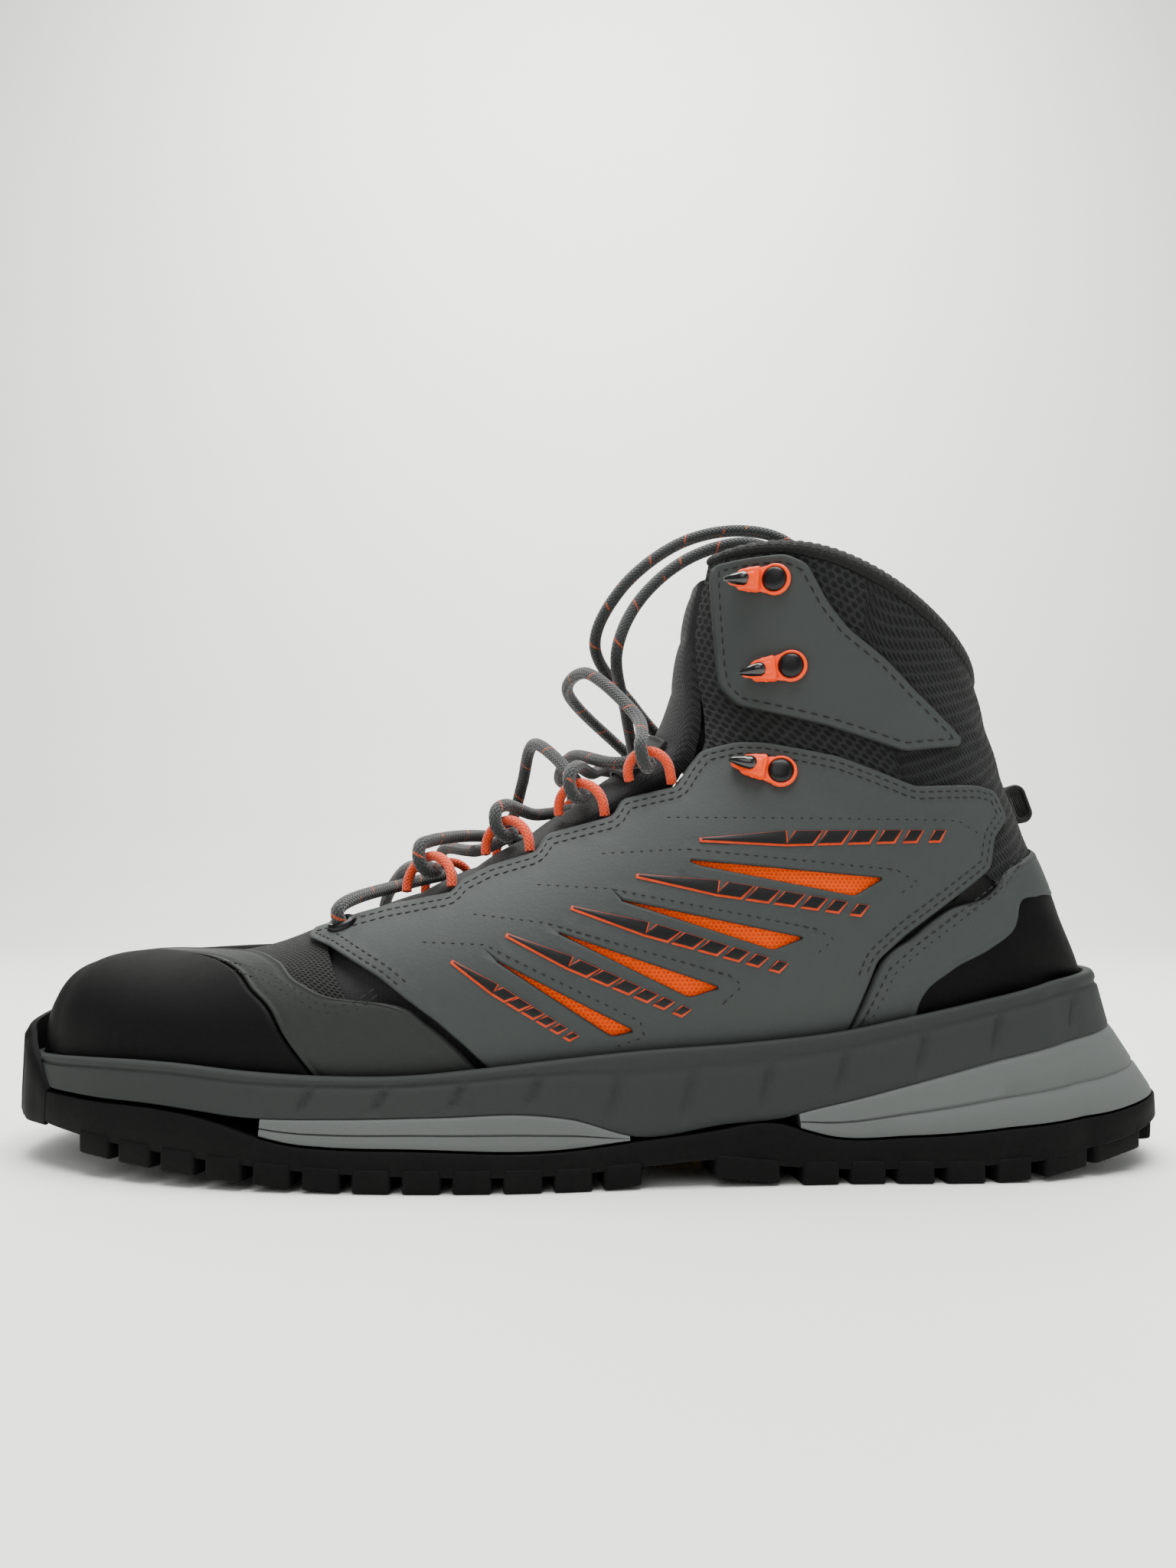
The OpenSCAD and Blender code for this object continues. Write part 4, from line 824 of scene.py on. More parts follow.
def tubeMesh(path, radius, sides):
    # rings square to the path, carried along it without twist; each end closes on a point just past it
    path = np.asarray(path, float)
    tangent = np.gradient(path, axis=0)
    tangent /= np.linalg.norm(tangent, axis=1)[:, None]
    up = np.empty_like(path)
    first = np.cross(tangent[0], [0.31, 0.17, 0.94])
    up[0] = first / np.linalg.norm(first)
    for i in range(1, len(path)):
        carried = up[i - 1] - tangent[i] * np.dot(up[i - 1], tangent[i])
        up[i] = carried / np.linalg.norm(carried)
    across = np.cross(tangent, up)
    turn = np.arange(sides) * 2 * math.pi / sides
    rings = path[:, None] + radius * (up[:, None] * np.cos(turn)[None, :, None]
                                      + across[:, None] * np.sin(turn)[None, :, None])
    run = arcLength(path, 0)
    cloth = np.stack(np.broadcast_arrays(run[:, None], (turn * radius)[None]), -1)
    rows = len(path)
    tip = tangent * radius * 0.3
    points = np.concatenate([rings.reshape(-1, 3), path[:1] - tip[:1], path[-1:] + tip[-1:]])
    k = np.arange(sides)
    after, far = (k + 1) % sides, (rows - 1) * sides
    caps = np.concatenate([np.stack([np.full(sides, rows * sides), after, k], -1),
                           np.stack([np.full(sides, rows * sides + 1), far + k, far + after], -1)])
    cloth = np.concatenate([cloth.reshape(-1, 2), [[0, 0]], [[run[-1], 0]]])
    return points, [gridFaces(rows, sides, closeCols=True, flip=True), caps], cloth


# Sole lines, as [x, height]
lipLine = [[-150, 25], [-129, 26.5], [-97, 27], [-77, 25.6], [-59, 24.8], [-40, 25], [-25, 26.4],
           [-5, 28.5], [12, 30], [37, 31.5], [61, 34], [76, 37], [97, 41.3], [116, 45.3], [135, 47.5],
           [150, 49]]
floorLine = [[-150, 21.4], [-137, 20.4], [-120, 19.2], [-85, 18.1], [-60, 18], [-20, 18.5], [26, 20.7],
             [40, 22.1], [68, 25.9], [107, 31.4], [123, 33.1], [135, 37]]
seamLine = [[-150, 20], [-130, 18.8], [-115, 18.2], [-100, 17.8], [-88, 16.8], [-80, 16], [-56, 15.8],
            [-33, 16.3], [-12, 16.6], [-4, 15.6], [11, 11.4], [31, 13.6], [45, 14.8], [52, 16.5],
            [62, 18.6], [76, 22.1], [96, 27], [122, 32], [138, 34], [150, 34.5]]
topLine = [[-150, 19.6], [-130, 18.4], [-115, 17.8], [-100, 17.4], [-90, 16.3], [-82, 14.6], [-74, 12.2],
           [-66, 10.6], [-58, 10], [-40, 9.7], [-5, 9.3], [11, 10.9], [31, 13.2], [37, 14.2], [44, 14],
           [49, 12.5], [55, 10.9], [75, 10.8], [104, 13], [124, 14.8], [135, 16.2], [150, 17.5]]
groundLine = [[-150, 8.5], [-135, 7], [-120, 5.4], [-102, 3.8], [-79, 1.9], [-62, 0.6], [-48, 0], [0, 0],
              [16, 1.2], [30, 2], [38, 1], [48, 0], [92, 0], [104, 0.8], [119, 3], [136, 6], [150, 8.5]]
flare = [[-150, 0.2, 0.3], [-100, 0.5, 0.8], [-60, 1, 1.8], [-20, 1, 2.2], [20, 0.6, 1], [50, 0.6, 1.8],
         [90, 1.2, 4], [120, 2.4, 8.5], [132, 3.2, 14.5], [150, 3.2, 17]]
soleSize = {"lip": 2.6, "out": 0.6, "tread": 4.0, "gap": 0.3, "seat": 2.1, "bumper": 2.2, "bumperReach": 0.145}
seatX0 = pivotX + toeA - soleSize["seat"]


def seatZ(x, depth):
    # height of the cup's seat, from the lip (0) to its floor (1)
    return mix(lineAt(lipLine, x), lineAt(floorLine, x), depth)


def seatEnd(depth):
    # the last x at which the upper still has a width at the seat's height, by halving
    low, high = 90.0, 150.0
    for _ in range(16):
        x = (low + high) / 2
        z = seatZ(x, depth)
        a, r = toFan(np.array(x), z)
        if section(a, soleSize["seat"])[1] > r:
            low = x
        else:
            high = x
    return (low + high) / 2


seatX1 = [seatEnd(depth) for depth in (0, 0.5, 1)]


def seatAt(s, level):
    # the seat's edge at share s from toe to heel, at level 0 lip, 1 middle or 2 floor
    x = mix(seatX0, seatX1[level], (1 - np.cos(np.pi * s)) / 2)
    z = seatZ(x, level / 2)
    half = np.maximum(halfWidth(x, z, soleSize["seat"]), halfWidth(x, z + 1, soleSize["seat"]))
    return np.stack([x, np.where((s <= 0) | (s >= 1), 0, half), z], -1)


def planAt(s):
    # s runs from the toe (0) to the heel (1); beyond them it comes back along the other side
    folded = np.where(s > 1, 2 - s, np.abs(s))
    p = seatAt(folded, 0)
    return np.stack([p[..., 0], np.where((s < 0) | (s > 1), -1, 1) * p[..., 1]], -1)


def soleEdge(s, out, side):
    # the plan's edge moved out square to itself, then bent with the foot
    d = planAt(s + 0.01) - planAt(s - 0.01)
    n = np.stack([-d[..., 1], d[..., 0]], -1) / np.linalg.norm(d, axis=-1)[..., None]
    p = planAt(s) + n * np.asarray(out)[..., None]
    return np.stack([p[..., 0], side * np.where((s <= 0) | (s >= 1), 0, p[..., 1]) + swing(p[..., 0])], -1)


def flareAt(x):
    # how far the side stands out at the seam and at the tread
    return smoothRows(flare, x)[..., 1], smoothRows(flare, x)[..., 2]


def seatShare(x):
    return np.arccos(np.clip(1 - 2 * (x - seatX0) / (seatX1[0] - seatX0), -1, 1)) / np.pi


def bandPoint(s, side, level, out):
    # the sole's side at level: 0 lip, 1 seam, 2 top of the tread, 3 ground; between levels it is blended
    s, side, level, out = np.broadcast_arrays(*[np.asarray(q, float) for q in (s, side, level, out)])
    atSeam, atBottom = flareAt(planAt(s)[..., 0])
    swell = np.where(level <= 1, atSeam * level, mix(atSeam, atBottom, np.clip(level - 1, 0, 1)))
    e = soleEdge(s, soleSize["lip"] + swell + out, side)
    lines = [lineAt(line, e[..., 0]) for line in (lipLine, seamLine, topLine, groundLine)]
    z = np.where(level <= 1, mix(lines[0], lines[1], level),
                 np.where(level <= 2, mix(lines[1], lines[2], level - 1), mix(lines[2], lines[3], level - 2)))
    return np.stack([e[..., 0], e[..., 1], z], -1)


def soleRing(count):
    # s and side all the way round the boot, lateral first
    s = np.linspace(0, 1, count + 1)
    sides = np.concatenate([np.full(count + 1, lateral), np.full(count - 1, medial)])
    return np.concatenate([s, s[::-1][1:-1]]), sides


def seatRing(s, side, level):
    # the seat's edge as points, bent with the foot
    p = seatAt(s, level)
    return np.stack([p[:, 0], side * p[:, 1] + swing(p[:, 0]), p[:, 2]], -1)


def stripCap(start, half, cols, flip):
    # fills a ring symmetric about its ends with strips from one side to the other
    i = np.arange(1, half - 1)
    quads = np.stack([start + i, start + i + 1, start + cols - i - 1, start + cols - i], -1)
    tris = np.array([[start, start + 1, start + cols - 1], [start + half, start + half + 1, start + half - 1]])
    return [quads[:, ::-1], tris[:, ::-1]] if flip else [quads, tris]


def bell(x, centre, half):
    # 1 - ((x - centre) / half)^2, no less than 0
    return np.clip(1 - ((x - centre) / half) ** 2, 0, 1)


cupSize = {"columns": 560, "grooveDepth": 1.0, "grooveHalf": 1.3, "lean": 5.0, "lipRound": 0.9, "seam": 0.7,
           "slashes": (-63, -46, -29, -12, 6, 23, 41, 59, 78, 96, 116)}


def buildCup():
    # the upper midsole: its outer side, its rounded lip and the hollow the upper sits in, ring by ring
    s, side = soleRing(cupSize["columns"])
    levels = np.array([1.0, 0.97, 0.9, 0.8, 0.7, 0.6, 0.5, 0.4, 0.3, 0.24, 0.2, 0.14, 0.08])
    rows = []
    x = planAt(s)[:, 0]
    for level in levels:
        tucked = 0.35 * (level > 0.98)
        tall = np.clip((level - 0.26) / 0.1, 0, 1) * np.clip((0.86 - level) / 0.1, 0, 1)
        dent = sum(bell(x, centre + cupSize["lean"] * (0.5 - level), cupSize["grooveHalf"])
                   for centre in cupSize["slashes"])
        seam = cupSize["seam"] * np.exp(-((level - 0.22) / 0.03) ** 2)
        rows.append(bandPoint(s, side, level, -tucked - cupSize["grooveDepth"] * dent * tall - seam))
    for k in range(6):
        f = math.radians(15 * (k + 1))
        rowLip = bandPoint(s, side, 0.0, -cupSize["lipRound"] * (1 - math.cos(f)))
        rowLip[:, 2] -= cupSize["lipRound"] * (1 - math.sin(f))
        rows.append(rowLip)
    seat = seatRing(s, side, 0)
    rows += [mix(rows[-1], seat, 0.85), seat - np.array([0, 0, 1.0])]
    rows += [seatRing(s, side, 1), seatRing(s, side, 2)]
    ring = np.stack(rows)
    n, cols = ring.shape[:2]
    half = cupSize["columns"]
    faces = [gridFaces(n, cols, closeCols=True, flip=True)]
    faces += stripCap(0, half, cols, False) + stripCap((n - 1) * cols, half, cols, True)
    return addPiece("midsole_cup", ring.reshape(-1, 3), faces, "darkFoam", cloth=sideCloth(ring), weld=True,
                    slotName="midsole_dark", replaces=["midsole_upper"])


buildCup()
print("midsole cup made")


def buildTread():
    # the black tread plate: from the seam's shadow down its side and across its bottom
    half = 240
    s, side = soleRing(half)
    rows = []
    for share, out in [(0.0, -0.2), (0.0, 0.35), (0.06, 0.6), (0.5, 0.6), (0.94, 0.6), (1.0, 0.2)]:
        e = bandPoint(s, side, 2.0, out)
        e[:, 2] = mix(lineAt(topLine, e[:, 0]) - 0.6, lineAt(groundLine, e[:, 0]) + soleSize["tread"], share)
        rows.append(e)
    ring = np.stack(rows)
    n, cols = ring.shape[:2]
    faces = [gridFaces(n, cols, closeCols=True)]
    faces += stripCap(0, half, cols, True) + stripCap((n - 1) * cols, half, cols, False)
    return addPiece("tread_plate", ring.reshape(-1, 3), faces, "tread", cloth=sideCloth(ring), weld=True,
                    slotName="outsole_rubber", replaces=["outsole"])


def softBlock(corners, rounding=0.12, steps=3):
    # a block through eight corners (four at the top, then four at the bottom) with its edges rounded:
    # a cube's grid is drawn in towards a rounded cube, then mapped between the corners
    line = np.concatenate([np.linspace(0, rounding, steps), np.linspace(1 - rounding, 1, steps)])
    k = len(line)
    u, v = np.meshgrid(line, line, indexing="ij")
    sheets = []
    for axis in range(3):
        for end in (0.0, 1.0):
            p = np.empty((k, k, 3))
            p[..., axis], p[..., (axis + 1) % 3], p[..., (axis + 2) % 3] = end, u, v
            sheets.append(p)
    p = np.concatenate([q.reshape(-1, 3) for q in sheets])
    core = np.clip(p, rounding, 1 - rounding)
    away = p - core
    size = np.linalg.norm(away, axis=1)[:, None]
    p = np.where(size > 1e-9, core + away / np.maximum(size, 1e-9) * rounding, p)
    faces = [gridFaces(k, k, start=i * k * k, flip=(i % 2 == 0)) for i in range(6)]
    corners = np.asarray(corners, float)
    x, y, z = p[:, 0:1], p[:, 1:2], p[:, 2:3]
    top = mix(mix(corners[0], corners[1], x), mix(corners[3], corners[2], x), y)
    low = mix(mix(corners[4], corners[5], x), mix(corners[7], corners[6], x), y)
    return mix(low, top, z), np.concatenate(faces)


def gather(blocks):
    # one list of points and one of faces from several blocks
    points, faces, start = [], [], 0
    for p, f in blocks:
        points.append(p)
        faces.append(f + start)
        start += len(p)
    return np.concatenate(points), [np.concatenate(faces)]


lugSize = {"pitch": 11.0, "gap": 2.4, "deep": 13.0, "tall": 5.4, "middle": 12.0, "middleTall": 5.2}


def groundAt(x):
    # height of the lugs' underside
    return max(0.0, float(lineAt(groundLine, x)))


def buildLugs():
    # side lugs along both edges and slanted lugs in the middle
    blocks = []
    long = lugSize["pitch"] - lugSize["gap"]
    starts = [(x, x + long) for x in np.arange(-118, 11, lugSize["pitch"])]
    starts += [(28, 43)]
    starts += [(x, x + long) for x in np.arange(48, 131, lugSize["pitch"])]
    for side in (lateral, medial):
        for x0, x1 in starts:
            ss = np.array([seatShare(x0), seatShare(x1)])
            reach = soleSize["lip"] + flareAt(planAt(ss)[:, 0])[1] + soleSize["out"]
            corner = []
            deep = lugSize["deep"]
            for inward, slope, dz in ((deep, 0.05, lugSize["tall"]), (deep - 1, 0.5, 0.0)):
                edge = soleEdge(ss, reach + 0.5 - slope, side)
                back = soleEdge(ss, reach - inward, side)
                for q in (edge[0], edge[1], back[1], back[0]):
                    corner.append([q[0], q[1], groundAt(q[0]) + dz])
            blocks.append(softBlock(corner, 0.1))
    middles = [(x + (4 if y > 0 else -3), y) for x in range(-112, 1, 13) for y in (-14, 14)]
    middles += [(x, -7 if x % 2 == 0 else 7) for x in range(58, 113, 13)]
    flat = lugSize["middle"] * np.array([[-0.5, -0.1], [0.35, -0.6], [0.5, 0.6], [-0.35, 0.6]])
    for x, y in middles:
        z, y = groundAt(x), y + float(swing(x))
        top = [[x + q[0], y + q[1], z + lugSize["middleTall"]] for q in flat]
        blocks.append(softBlock(top + [[x + q[0] * 0.92, y + q[1] * 0.92, z] for q in flat], 0.1))
    points, faces = gather(blocks)
    return addPiece("tread_lugs", points, faces, "tread", cloth=points[:, :2], weld=True, sharp=60,
                    slotName="outsole_rubber", replaces=["outsole"])


def buildBumper():
    # the rubber that wraps the toe: its section as [share of the height, share of the thickness]
    v = np.linspace(-1, 1, 91)
    s, side = np.abs(v) * soleSize["bumperReach"], np.where(v < 0, lateral, medial)
    top = mix(35, 19, np.abs(v) ** 2.2)
    thick = soleSize["bumper"] * (1 - 0.5 * v**4)
    rows = []
    for share, out in [(1, 0.0), (1, 0.55), (0.985, 0.8), (0.95, 0.97), (0.9, 1.0), (0.6, 1.0), (0.3, 1.0),
                       (0.08, 0.95), (0.0, 0.7), (0, 0)]:
        e = np.stack([soleEdge(np.array([q]), soleSize["lip"] + soleSize["gap"] * 0.3 + t * out, m)[0]
                      for q, t, m in zip(s, thick, side)])
        rows.append(np.stack([e[:, 0] + 0.6 * (share > 0.9), e[:, 1], mix(10, top, share)], -1))
    grid = np.stack(rows)
    n, cols = grid.shape[:2]
    faces = [gridFaces(n, cols, closeRows=True), *fanEnds(n, cols)]
    return addPiece("toe_bumper", grid.reshape(-1, 3), faces, "toeCap", cloth=sideCloth(grid), weld=True,
                    slotName="outsole_rubber", replaces=["outsole"])


def buildWedge(name, x0, x1, nodeName):
    # a light foam wedge with its side in soft steps, from the tread to the seam
    ss = np.linspace(seatShare(x0), seatShare(x1), 160)
    steps = [(2.0, -0.6), (2.0, -0.1), (1.93, 0.15), (1.8, 0.15), (1.62, 0.1), (1.57, -0.45), (1.52, 0.1),
             (1.3, 0.1), (1.12, 0.1), (1.04, -0.05), (1.0, -0.5)]
    grid = np.stack([bandPoint(ss, lateral, level, out) for level, out in steps]
                    + [bandPoint(ss, medial, level, out) for level, out in steps[::-1]])
    n, cols = grid.shape[:2]
    k = np.arange(n // 2 - 1)
    ends = []
    for col, flip in ((0, False), (cols - 1, True)):
        quads = np.stack([k, k + 1, n - 2 - k, n - 1 - k], -1) * cols + col
        ends.append(quads[:, ::-1] if flip else quads)
    return addPiece(name, grid.reshape(-1, 3), [gridFaces(n, cols, closeRows=True), *ends], "lightFoam",
                    cloth=sideCloth(grid), weld=True, slotName="midsole_light", replaces=[nodeName])


buildTread()
buildLugs()
buildBumper()
buildWedge("forefoot_wedge", -73, 9, "midsole_forefoot")
buildWedge("heel_wedge", 48, seatX1[0] - 0.3, "midsole_heel")
print("sole made")

# Upper: the depth of each layer's faces, outwards from the last, then the edges as [fan distance, share], or
# [share round the toe, fan distance], or [share round the heel, fan distance, share]
panelOut, capOut, skinIn, meshOut, meshIn = 1.6, 1.8, 0.3, -0.3, -1.1
throatLine = [[-14, 0.985], [-10, 0.965], [0, 0.93], [23, 0.885], [62, 0.875], [77, 0.87], [92, 0.92],
              [107, 0.95], [140, 0.95]]
capEdge = [[0, -61], [0.256, -36.6], [0.447, -24.5], [0.567, -19.5], [0.66, -14.7], [0.81, -9.4], [1, 0]]
overlayEdge = [[0, -50], [0.27, -24], [0.44, -14], [0.6, -6], [0.68, 2], [0.72, 10], [0.81, 16.4], [0.89, 20],
               [1, 23.6]]
heelTop = [[0, 106, 0], [0.15, 104.5, 0.05], [0.3, 101.3, 0.155], [0.42, 97.4, 0.255], [0.55, 91.1, 0.347],
           [0.7, 84, 0.304], [0.85, 78.5, 0.255], [1, 69, 0.08]]
heelLow = [[0, 102.5, 0], [0.15, 101, 0.05], [0.3, 99.0, 0.135], [0.42, 96.2, 0.225], [0.55, 90.4, 0.245],
           [0.7, 83, 0.195], [0.85, 79.5, 0.155], [1, 76.5, 0.09]]
patchLow = [[0, 94.3, 0], [0.15, 93.5, 0.015], [0.3, 92.5, 0.04], [0.6, 86, 0.075], [1, 77.5, 0.08]]


def edgeShare(a):
    # the share at which the throat's edge lies
    return lineAt(throatLine, a)


def rimA(tau):
    # fan distance of the collar's rim: 123 + 9.9 sin(140 degrees tau^1.2)
    return 123 + 9.9 * np.sin(np.radians(140 * np.maximum(tau, 0) ** 1.2))


def collarLow(tau):
    # fan distance at which the collar shows above the quarters
    return 106 - 12 * tau - 18 * tau**4


def toEdge(a, v):
    # share at v of the way from the back (0) to the throat's edge (1), drawn towards the back
    return edgeShare(a) * v**1.6


def lipShare(a):
    # the share at which a fan line meets the height just under the sole's lip
    front, back = section(a, 0)[:2]
    turn = np.maximum(a, 0) / fanRadius
    x = np.where(a < 0, pivotX + a, pivotX + back * np.sin(turn))
    for _ in range(6):
        z = lineAt(lipLine, x) - 3
        r = np.where(a < 0, pivotZ - z, (pivotZ - z) / np.cos(turn))
        x = np.where(a < 0, pivotX + a, pivotX + r * np.sin(turn))
    return (back - r) / (back - front)


def over(a, v):
    # share at v of the way from the ridge (0) down to the lip (1)
    return mix(1, lipShare(a), 1 - np.cos(np.pi / 2 * v))


def sideOf(v):
    return np.where(v < 0, lateral, medial)


def capPlace(v, u):
    a = mix(toeA, lineAt(capEdge, np.abs(v)), u**1.3)
    return a, over(a, np.abs(v)), sideOf(v)


def overlayPlace(v, u):
    a = mix(lineAt(capEdge, np.abs(v)) + 0.6, lineAt(overlayEdge, np.abs(v)), u)
    return a, over(a, np.abs(v)), sideOf(v)


def vampPlace(v, u):
    a = mix(lineAt(capEdge, np.abs(v)) - 8, mix(-12, 10, np.abs(v)), u)
    return a, over(a, np.abs(v)), sideOf(v)


def collarStart(tau):
    # the collar mesh runs on under the quarters and the heel overlay
    return collarLow(tau) - 9 * np.clip(1 - tau / 0.45, 0, 1) ** 0.5


def collarPlace(v, u):
    w = np.abs(v)
    t0 = toEdge(115, w)
    tau = toEdge(mix(collarStart(t0), rimA(t0), u), w)
    return mix(collarStart(tau), rimA(tau), u), tau, sideOf(v)


def between(first, second):
    # a band round the heel from one line of rows (u = 0) to another (u = 1)
    def place(v, u):
        p, q = smoothRows(first, np.abs(v)), smoothRows(second, np.abs(v))
        return mix(p[..., 1], q[..., 1], u), mix(p[..., 2], q[..., 2], u), sideOf(v)
    return place


def patchPlace(v, u):
    # its top edge runs on under the heel overlay
    return between(heelLow, patchLow)(0.97 * v, mix(-0.12, 1, u))


def stitchGroove(*lines):
    # a shallow trough under each row of stitches, at set distances from the cut edge
    def relief(distance, *others):
        return -sum(0.25 * np.exp(-((distance - d) / 0.45) ** 2) for d in lines)
    return relief


skinPiece("vamp", vampPlace, 40, 90, (70, 150), meshOut + 0.1, meshIn, "vamp", slotName="vamp_mesh",
          replaces=["vamp_mesh"])
skinPiece("toe_cap", capPlace, 64, 150, (60, 190), capOut, skinIn, "toeCap", rounded=(0, 1, 1, 1), radius=1.1,
          slotName="toe_cap", replaces=["toe_cap"])
skinPiece("toe_overlay", overlayPlace, 14, 150, (16, 190), panelOut, skinIn, "overlay",
          relief=stitchGroove(1.6), slotName="toe_overlay", replaces=["toe_overlay"])
skinPiece("heel_overlay", between(heelTop, heelLow), 10, 150, (14, 190), panelOut, skinIn, "panel",
          relief=stitchGroove(1.6), slotName="panel", replaces=["heel_overlay"])
skinPiece("heel_patch", patchPlace, 24, 90, (40, 120), panelOut - 0.4, skinIn, "heelPatch",
          slotName="heel_patch", replaces=["heel_patch"])


def collarBulge(distance, a, tau, middle):
    # the foam swells the collar between its seams, over the ankle and behind the heel
    up = np.clip((a - collarLow(tau)) / (rimA(tau) - collarLow(tau)), 0, 1)
    behind = np.clip(1 - tau / 0.45, 0, 1)
    return (0.9 * np.sin(np.pi * up) * behind + 0.5 * behind * np.sin(np.pi * 3 * up) ** 2
            + 0.22 * np.abs(np.sin(middle[..., 2] * 2.6 + middle[..., 0] * 1.1)))


skinPiece("collar", collarPlace, 120, 200, (45, 220), meshOut, meshIn, "collar", rounded=(0, 0, 0, 0),
          relief=collarBulge, slotName="collar_mesh", replaces=["collar_mesh"])
print("skins made")

# Side panels in the side view: a rib is [x, height] at the front edge and again at the rear edge
quarterRibs = np.array([
    [-69.7, 57.7, -69.3, 55.4], [-66, 58.6, -62, 53.4], [-62, 60, -55, 50], [-57.5, 61.4, -48.4, 46.6],
    [-53, 62.6, -42, 42], [-49.7, 63.5, -34.4, 36.7], [-44, 64.5, -28, 31.3], [-38, 65.6, -20, 23.5],
    [-33.6, 66.3, -10, 25], [-32.1, 69.2, -2, 25.7], [-24.6, 73.1, 5, 26.3], [-13, 76.4, 13, 27],
    [-10.9, 80.9, 19, 27.4], [6.1, 85.2, 26, 28], [8.5, 89.7, 32, 28.3], [22.1, 92.7, 38, 28.6],
    [25, 97.5, 43, 29], [28.7, 102.2, 48, 29.5], [37.4, 104, 52, 30], [44.1, 103.5, 56, 30.4],
    [61.5, 99.4, 60.4, 31], [70, 96, 68.7, 50], [80, 91.9, 76, 56.2], [88, 92.3, 87, 64],
    [96, 92.7, 98, 71.9], [101.6, 91.9, 100, 79.6], [103, 90.5, 105.2, 84.9]])
quarterOutline = np.concatenate([quarterRibs[:, :2], quarterRibs[::-1, 2:]])
windows = [[[23.8, 73.9], [70.9, 69.5], [63.7, 65.3], [26.6, 72.6]], [[7.3, 64.4], [51, 55.4], [43.6, 52.6]],
           [[-7.5, 56.9], [30.8, 44], [23.6, 41.8]], [[-21.6, 50.6], [10.7, 34.3], [5.6, 33.1]]]
windowBlock = np.array([[-27, 50.5], [-12, 60], [4, 69], [20, 78], [78, 71], [57, 52], [36, 40], [8, 29.5]])
panelRibs = np.array([
    [32.3, 151.5, 49.5, 150.6], [31.9, 147.8, 54.6, 147.7], [32.2, 138, 59.5, 138], [32.6, 130, 64.5, 131.3],
    [33, 123.4, 74, 123.4], [33.8, 118.3, 81, 116], [37.8, 113.3, 87, 110.5], [48, 110.2, 91, 106.8],
    [59.2, 107, 93.4, 104.3], [68, 103.9, 93.2, 103.5], [77.7, 100.6, 92.5, 102.4]])
panelOutline = np.concatenate([panelRibs[:, :2], panelRibs[::-1, 2:]])
hooks = [[47, 144.2, 38.1, 145.3], [50.6, 122.2, 42.1, 121.3], [47.5, 95.7, 38.4, 97.6]]
eyeletAt = [-60.7, 58.6]


heelSeam = np.array([[105.5, 77], [99.7, 71.3], [88, 63], [77.1, 55.2], [69.8, 49.1], [65.5, 41], [62.5, 35.5]])
toeSeam = np.array([[-106, 51.3], [-95, 51.2], [-83.8, 50.3], [-74.4, 48.4], [-66.1, 44.9], [-61.3, 42.3],
                    [-57.3, 41.7], [-53.5, 42.7], [-49, 46]])
arrowSeams = [np.array(q) for q in (
    [[19, 84.5], [90, 83.5], [96, 80]], [[3, 75.5], [24, 76.5], [74, 71.5], [79, 68.5], [74, 65.5]],
    [[-12.5, 68], [5, 67], [54, 57.5], [58, 55], [53, 51]],
    [[-27.5, 61], [-10, 59], [33, 46.8], [36, 44.5], [31, 40]],
    [[-39, 54.5], [-24, 54], [12, 36.5], [13, 33], [5, 30.5]])]
seamRows = (1.5, 3.1)


def quarterRelief(distance, flat):
    # a trough under each of the two rows of stitches along the quarter's top edge
    trough = sum(0.2 * np.exp(-((distance - d) / 0.4) ** 2) for d in seamRows)
    return -trough * (flat[:, 1] > 40)


def layOn(side):
    # the map from the side view onto one side of the upper
    def lay(x, z, off):
        return onUpper(x, z, off, side)
    return lay


def topSeams():
    # the quarter's edge moved in by each row's distance, kept only above the windows' lower ends
    edge = resample(roundCorners(quarterOutline, cutSize["corner"]), cutSize["step"])
    parts = []
    for d in seamRows:
        line = insetLine(edge, d)
        line = line[(line[:, 1] > 45) & (distanceTo(line, [edge]) > d * 0.93)]
        breaks = np.where(np.linalg.norm(np.diff(line, axis=0), axis=1) > 5)[0] + 1
        parts += [part for part in np.split(line, breaks) if len(part) > 4]
    return parts


def beside(line, shift):
    # the line moved sideways by shift, in the side view
    t = np.gradient(line, axis=0)
    t /= np.linalg.norm(t, axis=1)[:, None]
    return line + np.stack([t[:, 1], -t[:, 0]], -1) * shift


for label, side in bothSides:
    lay = layOn(side)
    cutPanel("quarter_" + label, quarterOutline, windows, lay, panelOut, skinIn, "panel", relief=quarterRelief,
             slotName="panel", replaces=["quarter_" + label])
    cutPanel("window_mesh_" + label, windowBlock, [], lay, meshOut + 0.35, meshIn, "window", radius=0.3,
             slotName="window_mesh", replaces=["window_mesh_" + label])
    cutPanel("collar_panel_" + label, panelOutline, [], lay, panelOut, skinIn, "panel",
             relief=stitchGroove(2.0), slotName="panel", replaces=["collar_panel_" + label])
    panelSeam = insetLine(resample(roundCorners(panelOutline, cutSize["corner"]), cutSize["step"]), 2.0)
    sewLine("collar_stitches_" + label, [panelSeam], lay, panelOut - 0.12, length=2.2, gap=0.8, thick=0.26,
            closed=True, slotName="panel")
    sewLine("quarter_stitches_" + label, topSeams(), lay, panelOut - 0.1, slotName="panel")
    sewLine("heel_stitches_" + label, [beside(heelSeam, -d) for d in (1.9, 3.5)], lay, panelOut - 0.08,
            slotName="panel")
    sewLine("toe_stitches_" + label, [beside(toeSeam, d) for d in (1.6, 3.2)], lay, panelOut - 0.08,
            slotName="toe_overlay")
    sewLine("arrow_stitches_" + label, arrowSeams, lay, panelOut - 0.08, slotName="panel")
print("panels made")

